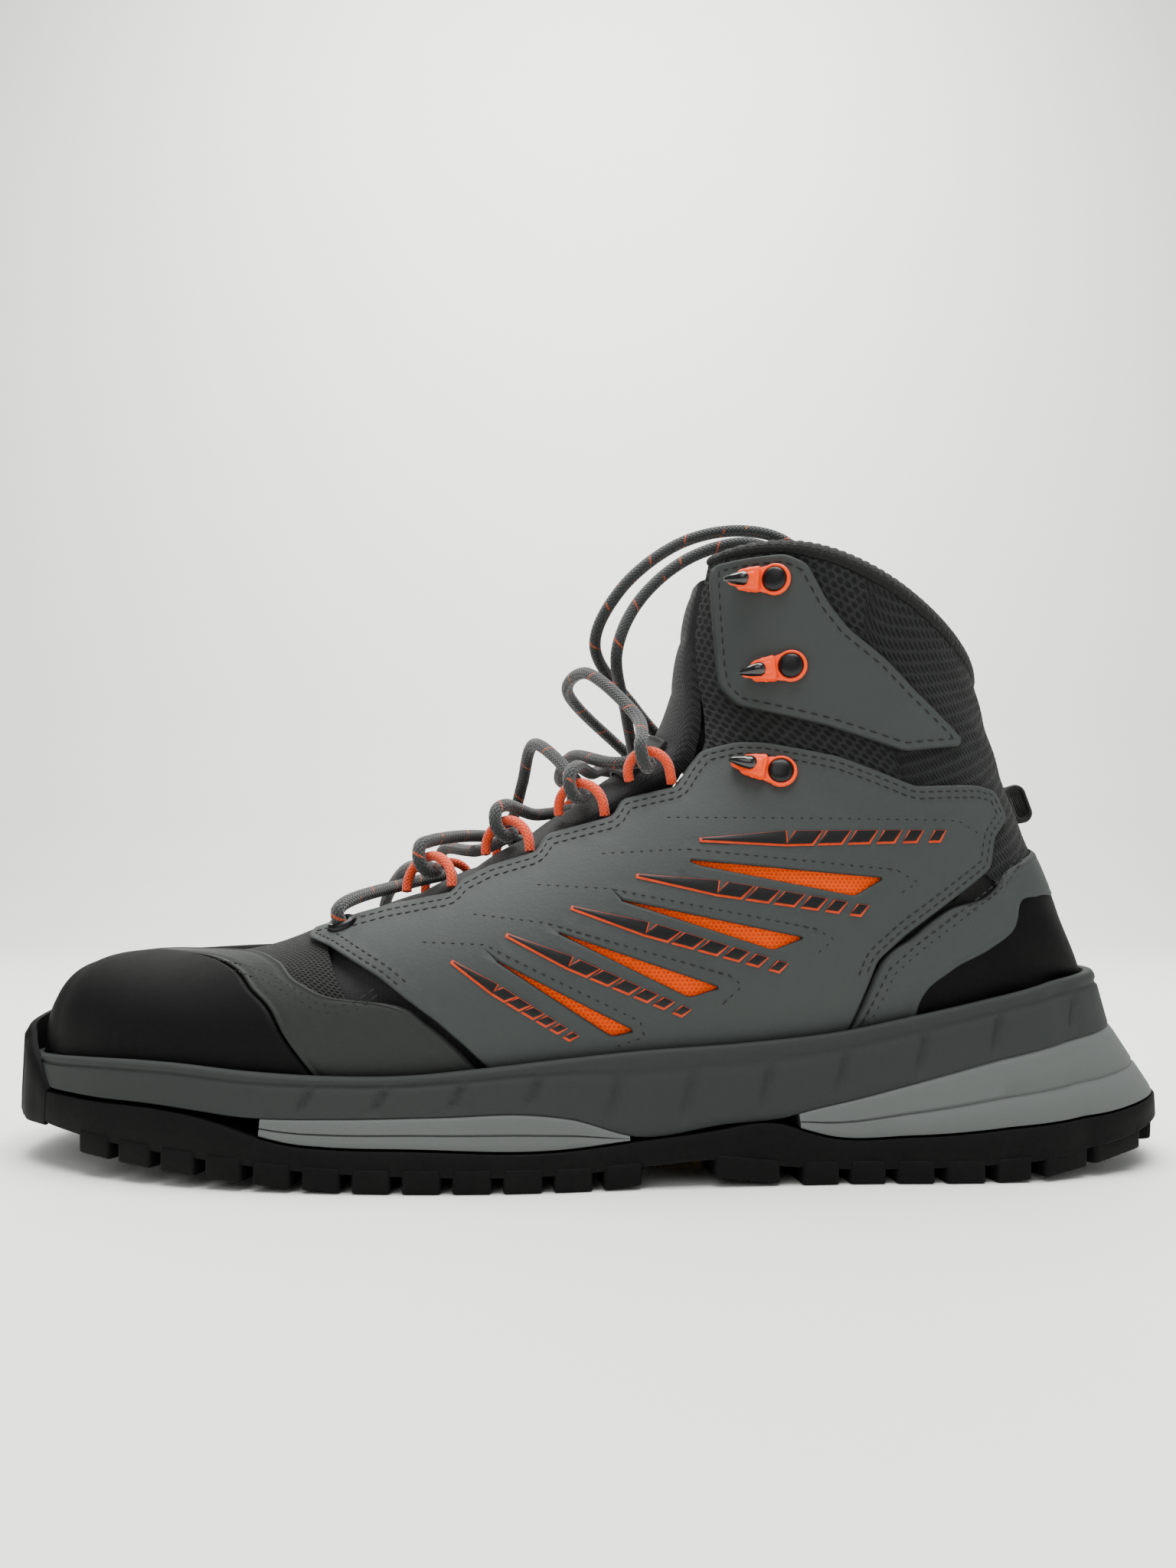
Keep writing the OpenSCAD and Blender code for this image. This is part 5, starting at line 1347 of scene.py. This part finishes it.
# Printed wedges and bars beside the windows, black over a slightly larger orange shape. A row is the x and
# height of its start and of its end, and its height; its pieces begin and end at the shares in flashEnds
flashRows = [[27.5, 79, 87.1, 79.9, 4.6], [12.1, 70.2, 67, 61.7, 4.6], [-3.4, 62.6, 46.9, 48.3, 4.2],
             [-18.5, 56.2, 23.7, 38.1, 3.8], [-30.9, 50.1, -2.5, 32.7, 3.2]]
flashEnds = [0, 0.34, 0.36, 0.465, 0.49, 0.58, 0.61, 0.69, 0.725, 0.79, 0.83, 0.88, 0.935, 0.975]


flashLayers = {"flashes_": {"finish": "flash", "grow": 0.0, "drop": 0.0, "high": 0.4},
               "flash_edges_": {"finish": "flashEdge", "grow": 0.3, "drop": 0.25, "high": 0.26}}
flashGrid = (13, 4)


def flashShapes(row, grow, drop):
    # corners of the wedge and the six bars of a row, in the side view; the bars lean and get smaller
    start, d = np.array(row[:2]), np.array([row[2] - row[0], row[3] - row[1]])
    n, along = unit(np.array([-d[1], d[0]])), unit(d)
    shapes = []
    for k in range(7):
        s0, s1 = flashEnds[2 * k], flashEnds[2 * k + 1]
        h0 = row[4] * (0.1 if k == 0 else 0.8 * (1 - 0.35 * s0)) / 2 + grow
        h1 = row[4] * 0.8 * (1 - 0.35 * s1) / 2 + grow
        lean = along * 0.35 * row[4] * (k > 0) * (1 - 0.5 * s0)
        a = start + d * s0 - along * grow * (2 if k == 0 else 1) - n * drop
        b = start + d * s1 + along * grow - n * drop
        shapes.append(np.array([a + n * h0 + lean, b + n * h1 + lean, b - n * h1 - lean, a - n * h0 - lean]))
    return shapes


def flashBlock(shape, high, side):
    # a thin raised block on the panel, its outermost grid line 0.1 lower as a soft edge
    rows, cols = flashGrid
    u, v = np.meshgrid(np.linspace(0, 1, rows), np.linspace(0, 1, cols), indexing="ij")
    flat = mix(mix(shape[0], shape[1], u[..., None]), mix(shape[3], shape[2], u[..., None]), v[..., None])
    rim = (u == 0) | (u == 1) | (v == 0) | (v == 1)
    top = onUpper(flat[..., 0], flat[..., 1], panelOut + high - 0.1 * rim, side)
    bottom = onUpper(flat[..., 0], flat[..., 1], panelOut - 0.1, side)
    flip, n = side > 0, rows * cols
    faces = [gridFaces(rows, cols, flip=flip), gridFaces(rows, cols, start=n, flip=not flip),
             rimFaces(rows, cols, n, flip=not flip)]
    points = np.concatenate([top.reshape(-1, 3), bottom.reshape(-1, 3)])
    return (points, np.concatenate(faces)), np.tile(flat.reshape(-1, 2), (2, 1))


for label, side in bothSides:
    for name, layer in flashLayers.items():
        made = [flashBlock(shape, layer["high"], side) for row in flashRows
                for shape in flashShapes(row, layer["grow"], layer["drop"])]
        points, faces = gather([block for block, _ in made])
        addPiece(name + label, points, faces, layer["finish"], cloth=np.concatenate([c for _, c in made]),
                 weld=True, sharp=30, slotName="flashes", replaces=["side_flashes_" + label])
print("flashes made")

# Lining, collar binding and footbed
innerOff, innerThick, innerPad = -2.9, 1.2, 3.6
liningRows = np.array([-81.5, -80.2, -77, -71, -60, -45, -28, -18, -10, 0, 12, 24, 36, 48, 58, 68, 77, 85,
                       89, 93, 96, 100, 106, 112, 119, 127, 135])


def buildLining():
    # a bag: the columns nearest the ridge are left out along the throat, which begins at throatStart
    throatStart, throatCols, sideCols = -10.0, 8, 34
    rowsA = np.interp(np.linspace(0, 1, 120), np.linspace(0, 1, len(liningRows)), liningRows)
    rowsA = np.unique(np.concatenate([rowsA, [throatStart]]))
    half = throatCols + sideCols
    cols = 2 * half + 2
    first = int(np.sum(rowsA < throatStart))
    j = np.arange(cols)
    mirrored = np.where(j <= half, j, 2 * half + 1 - j)[None]
    a = rowsA[:, None]
    e = edgeShare(np.maximum(a, throatStart))
    down = 1 - (mirrored - throatCols) / sideCols
    low = e * down * np.where(a < 88, 1, mix(1, down, 0.6))
    tau = np.where(mirrored <= throatCols, mix(1, e, 1 - np.cos(np.pi / 2 * mirrored / throatCols)), low)
    tau = np.maximum(tau, 0)
    top = np.where(a > 97, 97 + (a - 97) * (rimA(tau) - 97) / (135 - 97), a)
    pad = innerPad * np.clip((top - 98) / 10, 0, 1)
    side = np.where(j <= half, lateral, medial)[None]
    outer = upperPoint(top, tau, innerOff - pad, side)
    inner = upperPoint(top, tau, innerOff - pad - innerThick, side)
    n = outer.shape[0] * cols
    i, k = np.meshgrid(np.arange(len(rowsA) - 1), j, indexing="ij")
    kept = (i < first) | ((k >= throatCols) & (k < cols - 1 - throatCols))
    p, q = i * cols + k, i * cols + (k + 1) % cols
    quads = np.stack([p, q, q + cols, p + cols], -1)[kept]
    walls = []
    keptUp = np.vstack([np.ones((1, cols), bool), kept[:-1]])
    keptDown = np.vstack([kept[1:], np.zeros((1, cols), bool)])
    for mask, x, y in ((kept & ~keptUp, p, q), (kept & ~keptDown, q + cols, p + cols),
                       (kept & ~np.roll(kept, 1, axis=1), p + cols, p),
                       (kept & ~np.roll(kept, -1, axis=1), q, q + cols)):
        walls.append(np.stack([x[mask] + n, y[mask] + n, y[mask], x[mask]], -1))
    points = np.concatenate([outer.reshape(-1, 3), inner.reshape(-1, 3)])
    run = np.broadcast_to(arcLength(outer[60], 0), outer.shape[:2])
    cloth = np.stack([run, np.broadcast_to(a, outer.shape[:2])], -1).reshape(-1, 2)
    return addPiece("lining", points, [quads, quads[:, ::-1] + n, np.concatenate(walls)], "lining",
                    cloth=np.concatenate([cloth, cloth]), weld=True, slotName="lining", replaces=["lining"])


def buildBinding():
    # the tape over the rim: a rounded section carried round it
    v = np.linspace(-1, 1, 260)
    tau, side = toEdge(125, np.abs(v)), np.where(v < 0, lateral, medial)
    tape = [[0.3, 0.2], [0.4, 2.2], [-1.8, 3.9], [-5, 3.9], [-7.3, 2.2], [-7.2, 0.2]]
    tape = resample(roundCorners(tape, 1.2), 0.8)
    pucker = 0.12 * np.sin(np.arange(len(v)) * 2.1)
    rim = rimA(tau)
    grid = np.stack([upperPoint(rim + p[1] + pucker * (p[1] > 1), tau, p[0] + pucker, side) for p in tape])
    n, cols = grid.shape[:2]
    cloth = np.stack([np.broadcast_to(arcLength(grid[0], 0), (n, cols)),
                      np.broadcast_to(arcLength(grid[:, 0], 0)[:, None], (n, cols))], -1).reshape(-1, 2)
    faces = [gridFaces(n, cols, closeRows=True), *fanEnds(n, cols)]
    return addPiece("collar_binding", grid.reshape(-1, 3), faces, "binding", cloth=cloth, weld=True,
                    slotName="binding", replaces=["collar_binding"])


# the footbed's section as [share of the half width, depth under the last], round from the top
bedSection = [(1.0, -4.4), (0.97, -4.4), (0.0, -4.4), (-0.97, -4.4), (-1.0, -4.4), (-1.02, -5.4), (-1.0, -8.0),
              (-0.94, -8.6), (-0.8, -8.4), (-0.4, -8.2), (0, -8.2), (0.4, -8.2), (0.8, -8.4), (0.94, -8.6),
              (1.0, -8.0), (1.02, -5.4)]


def buildFootbed():
    # follows the bottom of the last, thicker at its rim, with a rounded edge
    a = np.linspace(-73, 83, 120)
    columns = []
    for share, off in bedSection:
        p = upperPoint(a, 0, off, medial if share >= 0 else lateral)
        middle = swing(p[:, 0])
        y = middle + (p[:, 1] - middle) * min(1, abs(share)) * 0.93
        columns.append(np.stack([p[:, 0], y, p[:, 2]], -1))
    grid = np.stack(columns, 1)
    n, cols = grid.shape[:2]
    k = np.arange(1, cols - 1)
    fan = np.stack([np.zeros(cols - 2, int), k, k + 1], -1)
    faces = [gridFaces(n, cols, closeCols=True), fan[:, [0, 2, 1]], fan + (n - 1) * cols]
    piece = addPiece("footbed", grid.reshape(-1, 3), faces, "footbed", cloth=grid[..., :2].reshape(-1, 2),
                     weld=True, slotName="footbed", replaces=["footbed"])


buildLining()
buildBinding()
buildFootbed()
print("inside made")


# Tongue
tongueShape = {"rows": 14.0, "swell": 0.8, "sink": 0.6, "edge": 1.2}


def tonguePlace(v, u):
    # from the toe end to above the collar, set in from the throat's edges and more so lower down
    a = mix(-4, 129, u)
    e = edgeShare(a)
    narrow = mix(0.35, 0.65, np.clip((a - 85) / 25, 0, 1))
    return a, mix(1, e + narrow * (1 - e), 1 - np.cos(np.pi / 2 * np.abs(v))), sideOf(v)


def tongueQuilt(distance, a, tau, middle):
    # quilted rows across the tongue, and a rounded edge all round
    quilt = tongueShape["swell"] * np.abs(np.sin(np.pi * a / tongueShape["rows"])) ** 0.6 - tongueShape["sink"]
    return quilt * np.clip(distance / 4, 0, 1) - tongueShape["edge"] * np.exp(-distance / 1.5)


tonguePiece = skinPiece("tongue", tonguePlace, 170, 50, (190, 44), -1.0, -6.0, "tongue", body="tongue",
                        radius=1.6, relief=tongueQuilt, slotName="tongue", replaces=["tongue"])


def facingPlace(v, u):
    a = mix(70, 84, u)
    e = edgeShare(a)
    return a, mix(1, e + 0.6 * (1 - e), 1 - np.cos(np.pi / 2 * np.abs(v))), sideOf(v)


skinPiece("tongue_facing", facingPlace, 12, 30, (14, 26), 0.6, -0.7, "facing", body="tongue", radius=0.5,
          relief=stitchGroove(1.5), slotName="tongue_facing", replaces=["tongue_facing"])


def anchorPlace(v, u):
    return mix(106.8, 112.5, u), 0.006 * v**2, sideOf(v)


skinPiece("pull_anchor", anchorPlace, 12, 24, (6, 16), panelOut, skinIn, "webbing", radius=0.4,
          slotName="webbing", replaces=["pull_anchor"])


pullSize = {"round": 2.8, "long": 10.0, "wide": 12.0, "thick": 1.2, "sunk": 0.7, "ribPitch": 1.5, "rib": 0.06}


def buildPullLoop():
    # flat webbing bent round an oval, its ribs running along it
    up = upperPoint(112.5, 0, 2, medial) - upperPoint(110.5, 0, 2, medial)
    up = np.array([up[0], 0, up[2]]) / math.hypot(up[0], up[2])
    outwards = np.array([up[2], 0, -up[0]])
    root = upperPoint(111.5, 0, 1.9, medial)
    root = np.array([root[0], float(swing(100)), root[2]])
    radius, wide = pullSize["round"], pullSize["wide"]
    turn = np.linspace(0, 2 * np.pi, 97)[:-1]
    away = np.where(np.cos(turn) > 0, pullSize["long"] - radius, radius - 0.6) - pullSize["sunk"]
    across = np.linspace(-wide / 2, wide / 2, 25)
    ribs = pullSize["rib"] * np.abs(np.sin(np.pi * across / pullSize["ribPitch"]))
    ribs = ribs - 0.3 * (np.abs(across) > wide / 2 - 0.3)
    rows = []
    for middle, line, bump in [(radius, across, ribs), (radius - pullSize["thick"], across[::-1], -ribs[::-1])]:
        for y, b in zip(line, bump):
            r = middle + b
            rows.append(root[None] - up[None] * (away + r * np.cos(turn))[:, None]
                        + outwards[None] * (radius + r * np.sin(turn))[:, None] + np.array([[0, y, 0]]))
    grid = np.stack(rows)
    n, cols = grid.shape[:2]
    widths = np.concatenate([across, across[::-1]])[:, None]
    cloth = np.stack(np.broadcast_arrays(np.linspace(0, 30, cols)[None], widths), -1).reshape(-1, 2)
    faces = [gridFaces(n, cols, closeRows=True, closeCols=True)]
    return addPiece("pull_loop", grid.reshape(-1, 3), faces, "webbing", body="pull_loop", cloth=cloth,
                    weld=True, slotName="webbing", replaces=["pull_loop"])


buildPullLoop()
print("tongue and pull loop made")


# Hooks and eyelets
hookSize = {"long": 16.5, "rear": 4.0, "nose": 1.3, "noseBack": 5.3, "lift": 0.1}
hookBlocks = {  # each block's corners, four at the top and four at the bottom: along, across, height
    "cowl": [[3.7, -3.0, 3.0], [7.6, -2.3, 2.7], [7.6, 2.3, 2.7], [3.7, 3.0, 3.0],
             [3.3, -3.7, 0.5], [10.4, -2.6, 0.5], [10.4, 2.6, 0.5], [3.3, 3.7, 0.5]],
    "step": [[4.5, -1.6, 3.5], [7.0, -1.3, 3.3], [7.0, 1.3, 3.3], [4.5, 1.6, 3.5],
             [4.2, -2.0, 2.0], [7.6, -1.6, 2.0], [7.6, 1.6, 2.0], [4.2, 2.0, 2.0]],
    "wing": [[6.4, -3.3, 1.5], [11.2, -1.0, 1.3], [10.5, 0, 1.2], [6.4, -1.5, 1.5],
             [6.0, -3.5, 0.7], [11.5, -1.1, 0.7], [10.8, 0, 0.7], [6.0, -1.2, 0.7]]}
rivetBowl = [[0, 0.9], [3.0, 0.9], [3.1, 1.15], [3.05, 1.35], [2.7, 1.75], [2.0, 2.0], [1.1, 2.1], [0, 2.12]]
rivetRing = [[3.15, 0.85], [3.3, 1.25], [3.6, 1.35], [3.85, 1.2], [3.95, 0.85]]
eyeletRing = [[2.05, -0.4], [2.0, 0.5], [2.25, 1.0], [2.9, 1.15], [3.45, 0.85], [3.7, 0.35], [3.72, -0.4]]
beakRows = [[5.9, 0.5], [6.4, 1.4], [7.4, 1.8], [9.0, 1.6], [10.7, 1.2], [12.1, 0.8], [12.8, 0.4]]


def normalAt(p, side):
    # outward normal of the upper, from the slopes of its half width
    h = 0.5
    dx = halfWidth(p[0] + h, p[1], panelOut) - halfWidth(p[0] - h, p[1], panelOut)
    dz = halfWidth(p[0], p[1] + h, panelOut) - halfWidth(p[0], p[1] - h, panelOut)
    return unit(np.array([-float(dx), side * 2 * h, -float(dz)]))


def placeOn(points, origin, heading, normal):
    # local x along the heading, local z along the normal
    z = unit(normal)
    x = unit(heading - z * np.dot(heading, z))
    y = np.cross(z, x)
    return origin + points[:, :1] * x + points[:, 1:2] * y + points[:, 2:3] * z


def lathe(outline, count=40, ring=False):
    # [radius, height] rows turned round an axis: they begin and end on it, or close on themselves as a ring
    turn = np.arange(count) * 2 * np.pi / count
    o = np.asarray(outline, float)
    heights = np.broadcast_to(o[:, 1:2], (len(o), count))
    grid = np.stack([o[:, :1] * np.cos(turn), o[:, :1] * np.sin(turn), heights], -1)
    return grid.reshape(-1, 3), gridFaces(len(o), count, closeRows=ring, closeCols=True, flip=ring)


def slab(outline, layers):
    # a plate from its outline in x and y: each layer is (inset, height), closed by a fan at both ends
    middle = outline.mean(axis=0)
    away = outline - middle
    reach = np.maximum(np.linalg.norm(away, axis=1), 1e-6)
    rows = [(middle + away * (1 - inset / reach)[:, None], height) for inset, height in layers]
    centre = np.repeat(middle[None], len(outline), 0)
    rows = [(centre, layers[0][1]), *rows, (centre, layers[-1][1])]
    grid = np.stack([np.column_stack([p, np.full(len(p), height)]) for p, height in rows])
    return grid.reshape(-1, 3), gridFaces(len(rows), len(outline), closeCols=True)


def hookOutline():
    # a round rear end that narrows to a small round nose
    a, b = np.radians(np.linspace(60, 300, 30)), np.radians(np.linspace(-60, 60, 12))
    rear = hookSize["rear"] * np.stack([np.cos(a), np.sin(a)], -1)
    nose = hookSize["nose"] * np.stack([np.cos(b), np.sin(b)], -1)
    nose[:, 0] += hookSize["long"] - hookSize["noseBack"]
    return resample(np.concatenate([rear, nose]), 0.7)


def beakBlock(count=20):
    # rings along the beak that swell and narrow and drop by a tenth; a point closes each end
    turn = np.arange(count) * 2 * np.pi / count
    along = np.array(beakRows)
    rows = len(along)
    heights = 2.95 - 0.1 * (along[:, :1] - 6) + along[:, 1:] * 0.8 * np.sin(turn)
    grid = np.stack([np.broadcast_to(along[:, :1], (rows, count)), along[:, 1:] * np.cos(turn), heights], -1)
    points = np.concatenate([grid.reshape(-1, 3), [[5.7, 0, 2.95], [13.0, 0, 2.25]]])
    k, first, tip = np.arange(count), (rows - 1) * count, rows * count
    after = (k + 1) % count
    ends = np.concatenate([np.stack([np.full(count, tip), after, k, k], -1),
                           np.stack([np.full(count, tip + 1), first + k, first + after, first + after], -1)])
    return points, np.concatenate([gridFaces(rows, count, closeCols=True, flip=True), ends])


def plateBlocks():
    # the plate, the rim round the rivet, the cowl with its step, and a wing at each side of the beak
    blocks = [slab(hookOutline(), [(0.25, 0), (0, 0.2), (0, 0.7), (0.12, 0.85), (0.4, 0.9)]),
              lathe(rivetRing, ring=True), softBlock(hookBlocks["cowl"], 0.2, 4),
              softBlock(hookBlocks["step"], 0.25, 4)]
    for mirror in (1, -1):
        points, faces = softBlock(np.array(hookBlocks["wing"]) * [1, mirror, 1], 0.2, 4)
        blocks.append((points, faces[:, ::mirror]))
    return blocks


def buildHooks():
    # every hook is the same blocks, laid at its place with its heading and the upper's normal there
    for name, blocks, finish, slotName in (("hook_plates", plateBlocks(), "hookPaint", "hook_orange"),
                                           ("hook_beaks", [beakBlock()], "beak", "beak_black"),
                                           ("hook_rivets", [lathe(rivetBowl)], "rivet", "dark_metal")):
        placed = []
        for side in (lateral, medial):
            for h in hooks:
                origin = onUpper(h[0], h[1], panelOut + hookSize["lift"], side)
                heading = onUpper(h[2], h[3], panelOut, side) - onUpper(h[0], h[1], panelOut, side)
                placed += [(placeOn(p, origin, heading, normalAt(h, side)), f) for p, f in blocks]
        points, faces = gather(placed)
        quads = faces[0]
        folded = quads[:, 2] == quads[:, 3]
        addPiece(name, points, [quads[~folded], quads[folded][:, :3]], finish, cloth=points[:, [0, 2]],
                 weld=True, sharp=50, slotName=slotName, replaces=[name])


def buildEyelets():
    for label, side in bothSides:
        points, faces = lathe(eyeletRing, 48, ring=True)
        origin = onUpper(*eyeletAt, panelOut + 0.1, side)
        points = placeOn(points, origin, np.array([1.0, 0, 0]), normalAt(eyeletAt, side))
        addPiece("eyelet_" + label, points, [faces], "rivet", cloth=points[:, [0, 2]], weld=True,
                 slotName="dark_metal", replaces=["eyelet_" + label])


buildHooks()
buildEyelets()
print("hooks made")

# Lace loops and laces
loopLegs = np.array([[[10.8, 93.2], [21, 94.7]], [[-7.3, 85.2], [4.1, 86.8]], [[-26.4, 75.3], [-14.8, 78]],
                     [[-47, 66], [-34.4, 69]]])
cordSize = {"lace": 3.4, "loop": 2.6, "loopHeight": 9.4, "wrap": 4.1, "low": 2.7, "high": 6.9}


def loopFrame(i, side):
    # a loop's foot, the way its legs lie apart, its lean, its radius, its legs' length and the way through it
    one, two = (onUpper(*loopLegs[i][k], 0.4, side) for k in (0, 1))
    foot, span = (one + two) / 2, two - one
    n = normalAt(loopLegs[i].mean(axis=0), side)
    t = unit(np.cross(span, n)) * side
    lean = unit(t * 0.6 + n * 0.8)
    r = np.linalg.norm(span) / 2
    leg = max(0.6, cordSize["loopHeight"] - r - cordSize["loop"] / 2)
    through = unit(np.cross(span, lean))
    through = through * (1 if through[1] * side > 0 else -1)
    return foot, unit(span - lean * np.dot(span, lean)), lean, r, leg, through


def loopTube(i, side):
    # up one leg, half a turn and down the other leg
    foot, x, lean, r, leg, _ = loopFrame(i, side)
    f = np.linspace(0, np.pi, 30)[:, None]
    path = np.concatenate([[foot + x * r - lean * 1.0], [foot + x * r + lean * leg * 0.5],
                           foot + lean * leg + r * (x * np.cos(f) + lean * np.sin(f)),
                           [foot - x * r + lean * leg * 0.5], [foot - x * r - lean * 1.0]])
    return tubeMesh(splinePath(path[::2], 0.7), cordSize["loop"] / 2, 14)


for label, side in bothSides:
    tubes = [loopTube(i, side) for i in range(4)]
    starts = np.cumsum([0] + [len(points) for points, _, _ in tubes])
    faces = [np.concatenate([tube[1][k] + start for tube, start in zip(tubes, starts)]) for k in (0, 1)]
    addPiece("lace_loops_" + label, np.concatenate([tube[0] for tube in tubes]), faces, "loopCord",
             cloth=np.concatenate([tube[2] for tube in tubes]), slotName="loop_cord",
             replaces=["lace_loops_" + label])


def roundLoop(i, side):
    # the lace's points round the top of a loop
    foot, x, lean, r, leg, across = loopFrame(i, side)
    eye = foot + lean * (leg + r)
    return [eye + cordSize["wrap"] * (across * math.cos(math.radians(f)) + lean * math.sin(math.radians(f)))
            for f in (-130, -90, -30, 30, 90)]


def overRidge(a, off):
    # a point over the tongue's ridge
    return [upperPoint(a, 1, off, medial)]


def fromEyelet(side):
    # from behind the eyelet out through it
    base = onUpper(*eyeletAt, panelOut + 0.1, side)
    return [base + h * normalAt(eyeletAt, side) for h in (-1.8, 3.3)]


def underHook(p, off):
    return [onUpper(p[0], p[1], off, medial)]


hank = {"at": (60.0, 0.0, 121.0), "wide": 14.0, "tall": 19.8, "ring": 3.4}


def hankTurns(start, turns, slot, step):
    # down the front of an oval and round it, each turn a slot further round the hank's section
    f = np.radians(np.linspace(start, start - 360 * turns, int(26 * turns) + 2))
    t = np.linspace(0, turns, len(f))
    psi = np.radians(slot + step * t)
    away = hank["ring"] * np.sin(psi)
    return np.stack([hank["at"][0] + hank["ring"] * np.cos(psi), (hank["wide"] + away) * np.cos(f),
                     hank["at"][2] + (hank["tall"] + away) * np.sin(f)], -1)


ridgeLow, ridgeHigh = cordSize["low"], cordSize["high"]
routes = {
    "lateral": np.array(
        fromEyelet(lateral) + overRidge(10, ridgeLow) + roundLoop(3, medial)
        + overRidge(29, ridgeLow) + roundLoop(2, lateral) + overRidge(47, ridgeLow) + roundLoop(1, medial)
        + [[-8, 18, 99], [-4.5, 0, 104], [6.6, -18, 100]] + roundLoop(0, lateral)
        + [[12.7, -20, 112], [-0.6, -3, 127], [-6, 12, 124.7], [7, 31.5, 113.5]]
        + underHook([32.4, 93.5], 4.2) + underHook([33.6, 98], 4.0) + underHook([31.4, 102], 4.4)
        + [[14, 20, 121], [2, 8, 137], [9, 3, 152], [26.5, 3, 166], [44, 3, 169.6], [57, 3, 166],
           [63.5, 4, 156]]
        + list(hankTurns(20, 1.15, 0, 60)) + [[61.5, 9.5, 103], [60.5, 6, 98.5], [60, 5, 94]]),
    "medial": np.array(
        fromEyelet(medial) + overRidge(10, ridgeHigh) + roundLoop(3, lateral)
        + overRidge(29, ridgeHigh) + roundLoop(2, medial) + [[-19, 14, 98], [-15, 0, 107.5]]
        + roundLoop(1, lateral) + [[1, -3, 99], [5, 13, 101.5]] + roundLoop(0, medial)
        + [[11, 12, 118], [8, -3, 133], [14, -3.5, 147], [28, -3, 159.5], [44, -3, 164], [53, -3, 160.5],
           [55.5, -2, 152], [53.4, 4, 143], [53.6, 9, 134]]
        + list(hankTurns(5, 2.15, 180, 50)) + [[56, 5, 101], [58, -1, 97], [59, -5, 91]])}
agletSize = {"length": 15.0, "overlap": 1.5}
agletRows = [[0, 0], [1.3, 0], [1.65, 0.4], [1.8, 1.2], [1.8, 4.9], [1.72, 5.1], [1.8, 5.3], [1.8, 13.6],
             [1.6, 14.6], [1.1, agletSize["length"]], [0, agletSize["length"]]]

for label, side in bothSides:
    path = splinePath(routes[label], 1.1)
    print("lace", label, "is", round(float(arcLength(path, 0)[-1])), "mm")
    points, faces, cloth = tubeMesh(path, cordSize["lace"] / 2, 16)
    lace = addPiece("lace_" + label, points, faces, "lace", cloth=cloth, sharp=180, slotName="lace",
                    replaces=["lace_" + label, "lace_hank"])
    points, faces = lathe(agletRows, 28)
    points = points + path[-1] - np.array([0, 0, agletSize["length"] - agletSize["overlap"]])
    aglet = addPiece("aglet_" + label, points, [faces], "aglet", cloth=points[:, [0, 2]], weld=True,
                     slotName="aglet", replaces=["aglets"])
print("laces made")

# CAD nodes that stay, each with its own finish
keptNodes = {"arch_inlay": "inlay", "shank_plate": "steel", "insole_board": "board", "ankle_foam": "foam",
             "toe_puff": "stiffener", "heel_counter": "counter"}
for nodeName, finish in keptNodes.items():
    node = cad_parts[nodeName]
    node.data.materials.clear()
    node.data.materials.append(finishes[finish].material)


# Stage: a pale table with a wall that rises behind it, as a line of [distance back, height] carried sideways
tableLine = np.array([[-1.6, 0], [-0.8, 0], [0, 0], [0.8, 0], [1.3, 0], [1.5, 0.03], [1.62, 0.1], [1.68, 0.2],
                      [1.7, 0.4], [1.7, 1.2], [1.7, 2.4]])


def buildStage():
    x = np.broadcast_to(np.linspace(-2.5, 2.5, 9)[None], (len(tableLine), 9))
    y, z = (np.broadcast_to(tableLine[:, k:k + 1], x.shape) for k in (0, 1))
    points = np.stack([x, y, z], -1).reshape(-1, 3)
    mesh = bpy.data.meshes.new("table")
    mesh.from_pydata(points.tolist(), [], gridFaces(len(tableLine), 9, flip=True).tolist())
    mesh.polygons.foreach_set("use_smooth", np.ones(len(mesh.polygons), bool))
    table = bpy.data.objects.new("table", mesh)
    bpy.context.scene.collection.objects.link(table)
    mesh.materials.append(tableFinish.material)


tableFinish = Finish("pale_table", (0.9, 0.91, 0.88), 0.6)
tableFinish.tint(noiseNode(tableFinish.tree, tableFinish.object(), 6.0, 4.0), (0.8, 0.81, 0.78), 0.4)
tableFinish.bump(noiseNode(tableFinish.tree, tableFinish.object(), 900.0, 4.0), 0.02)
buildStage()
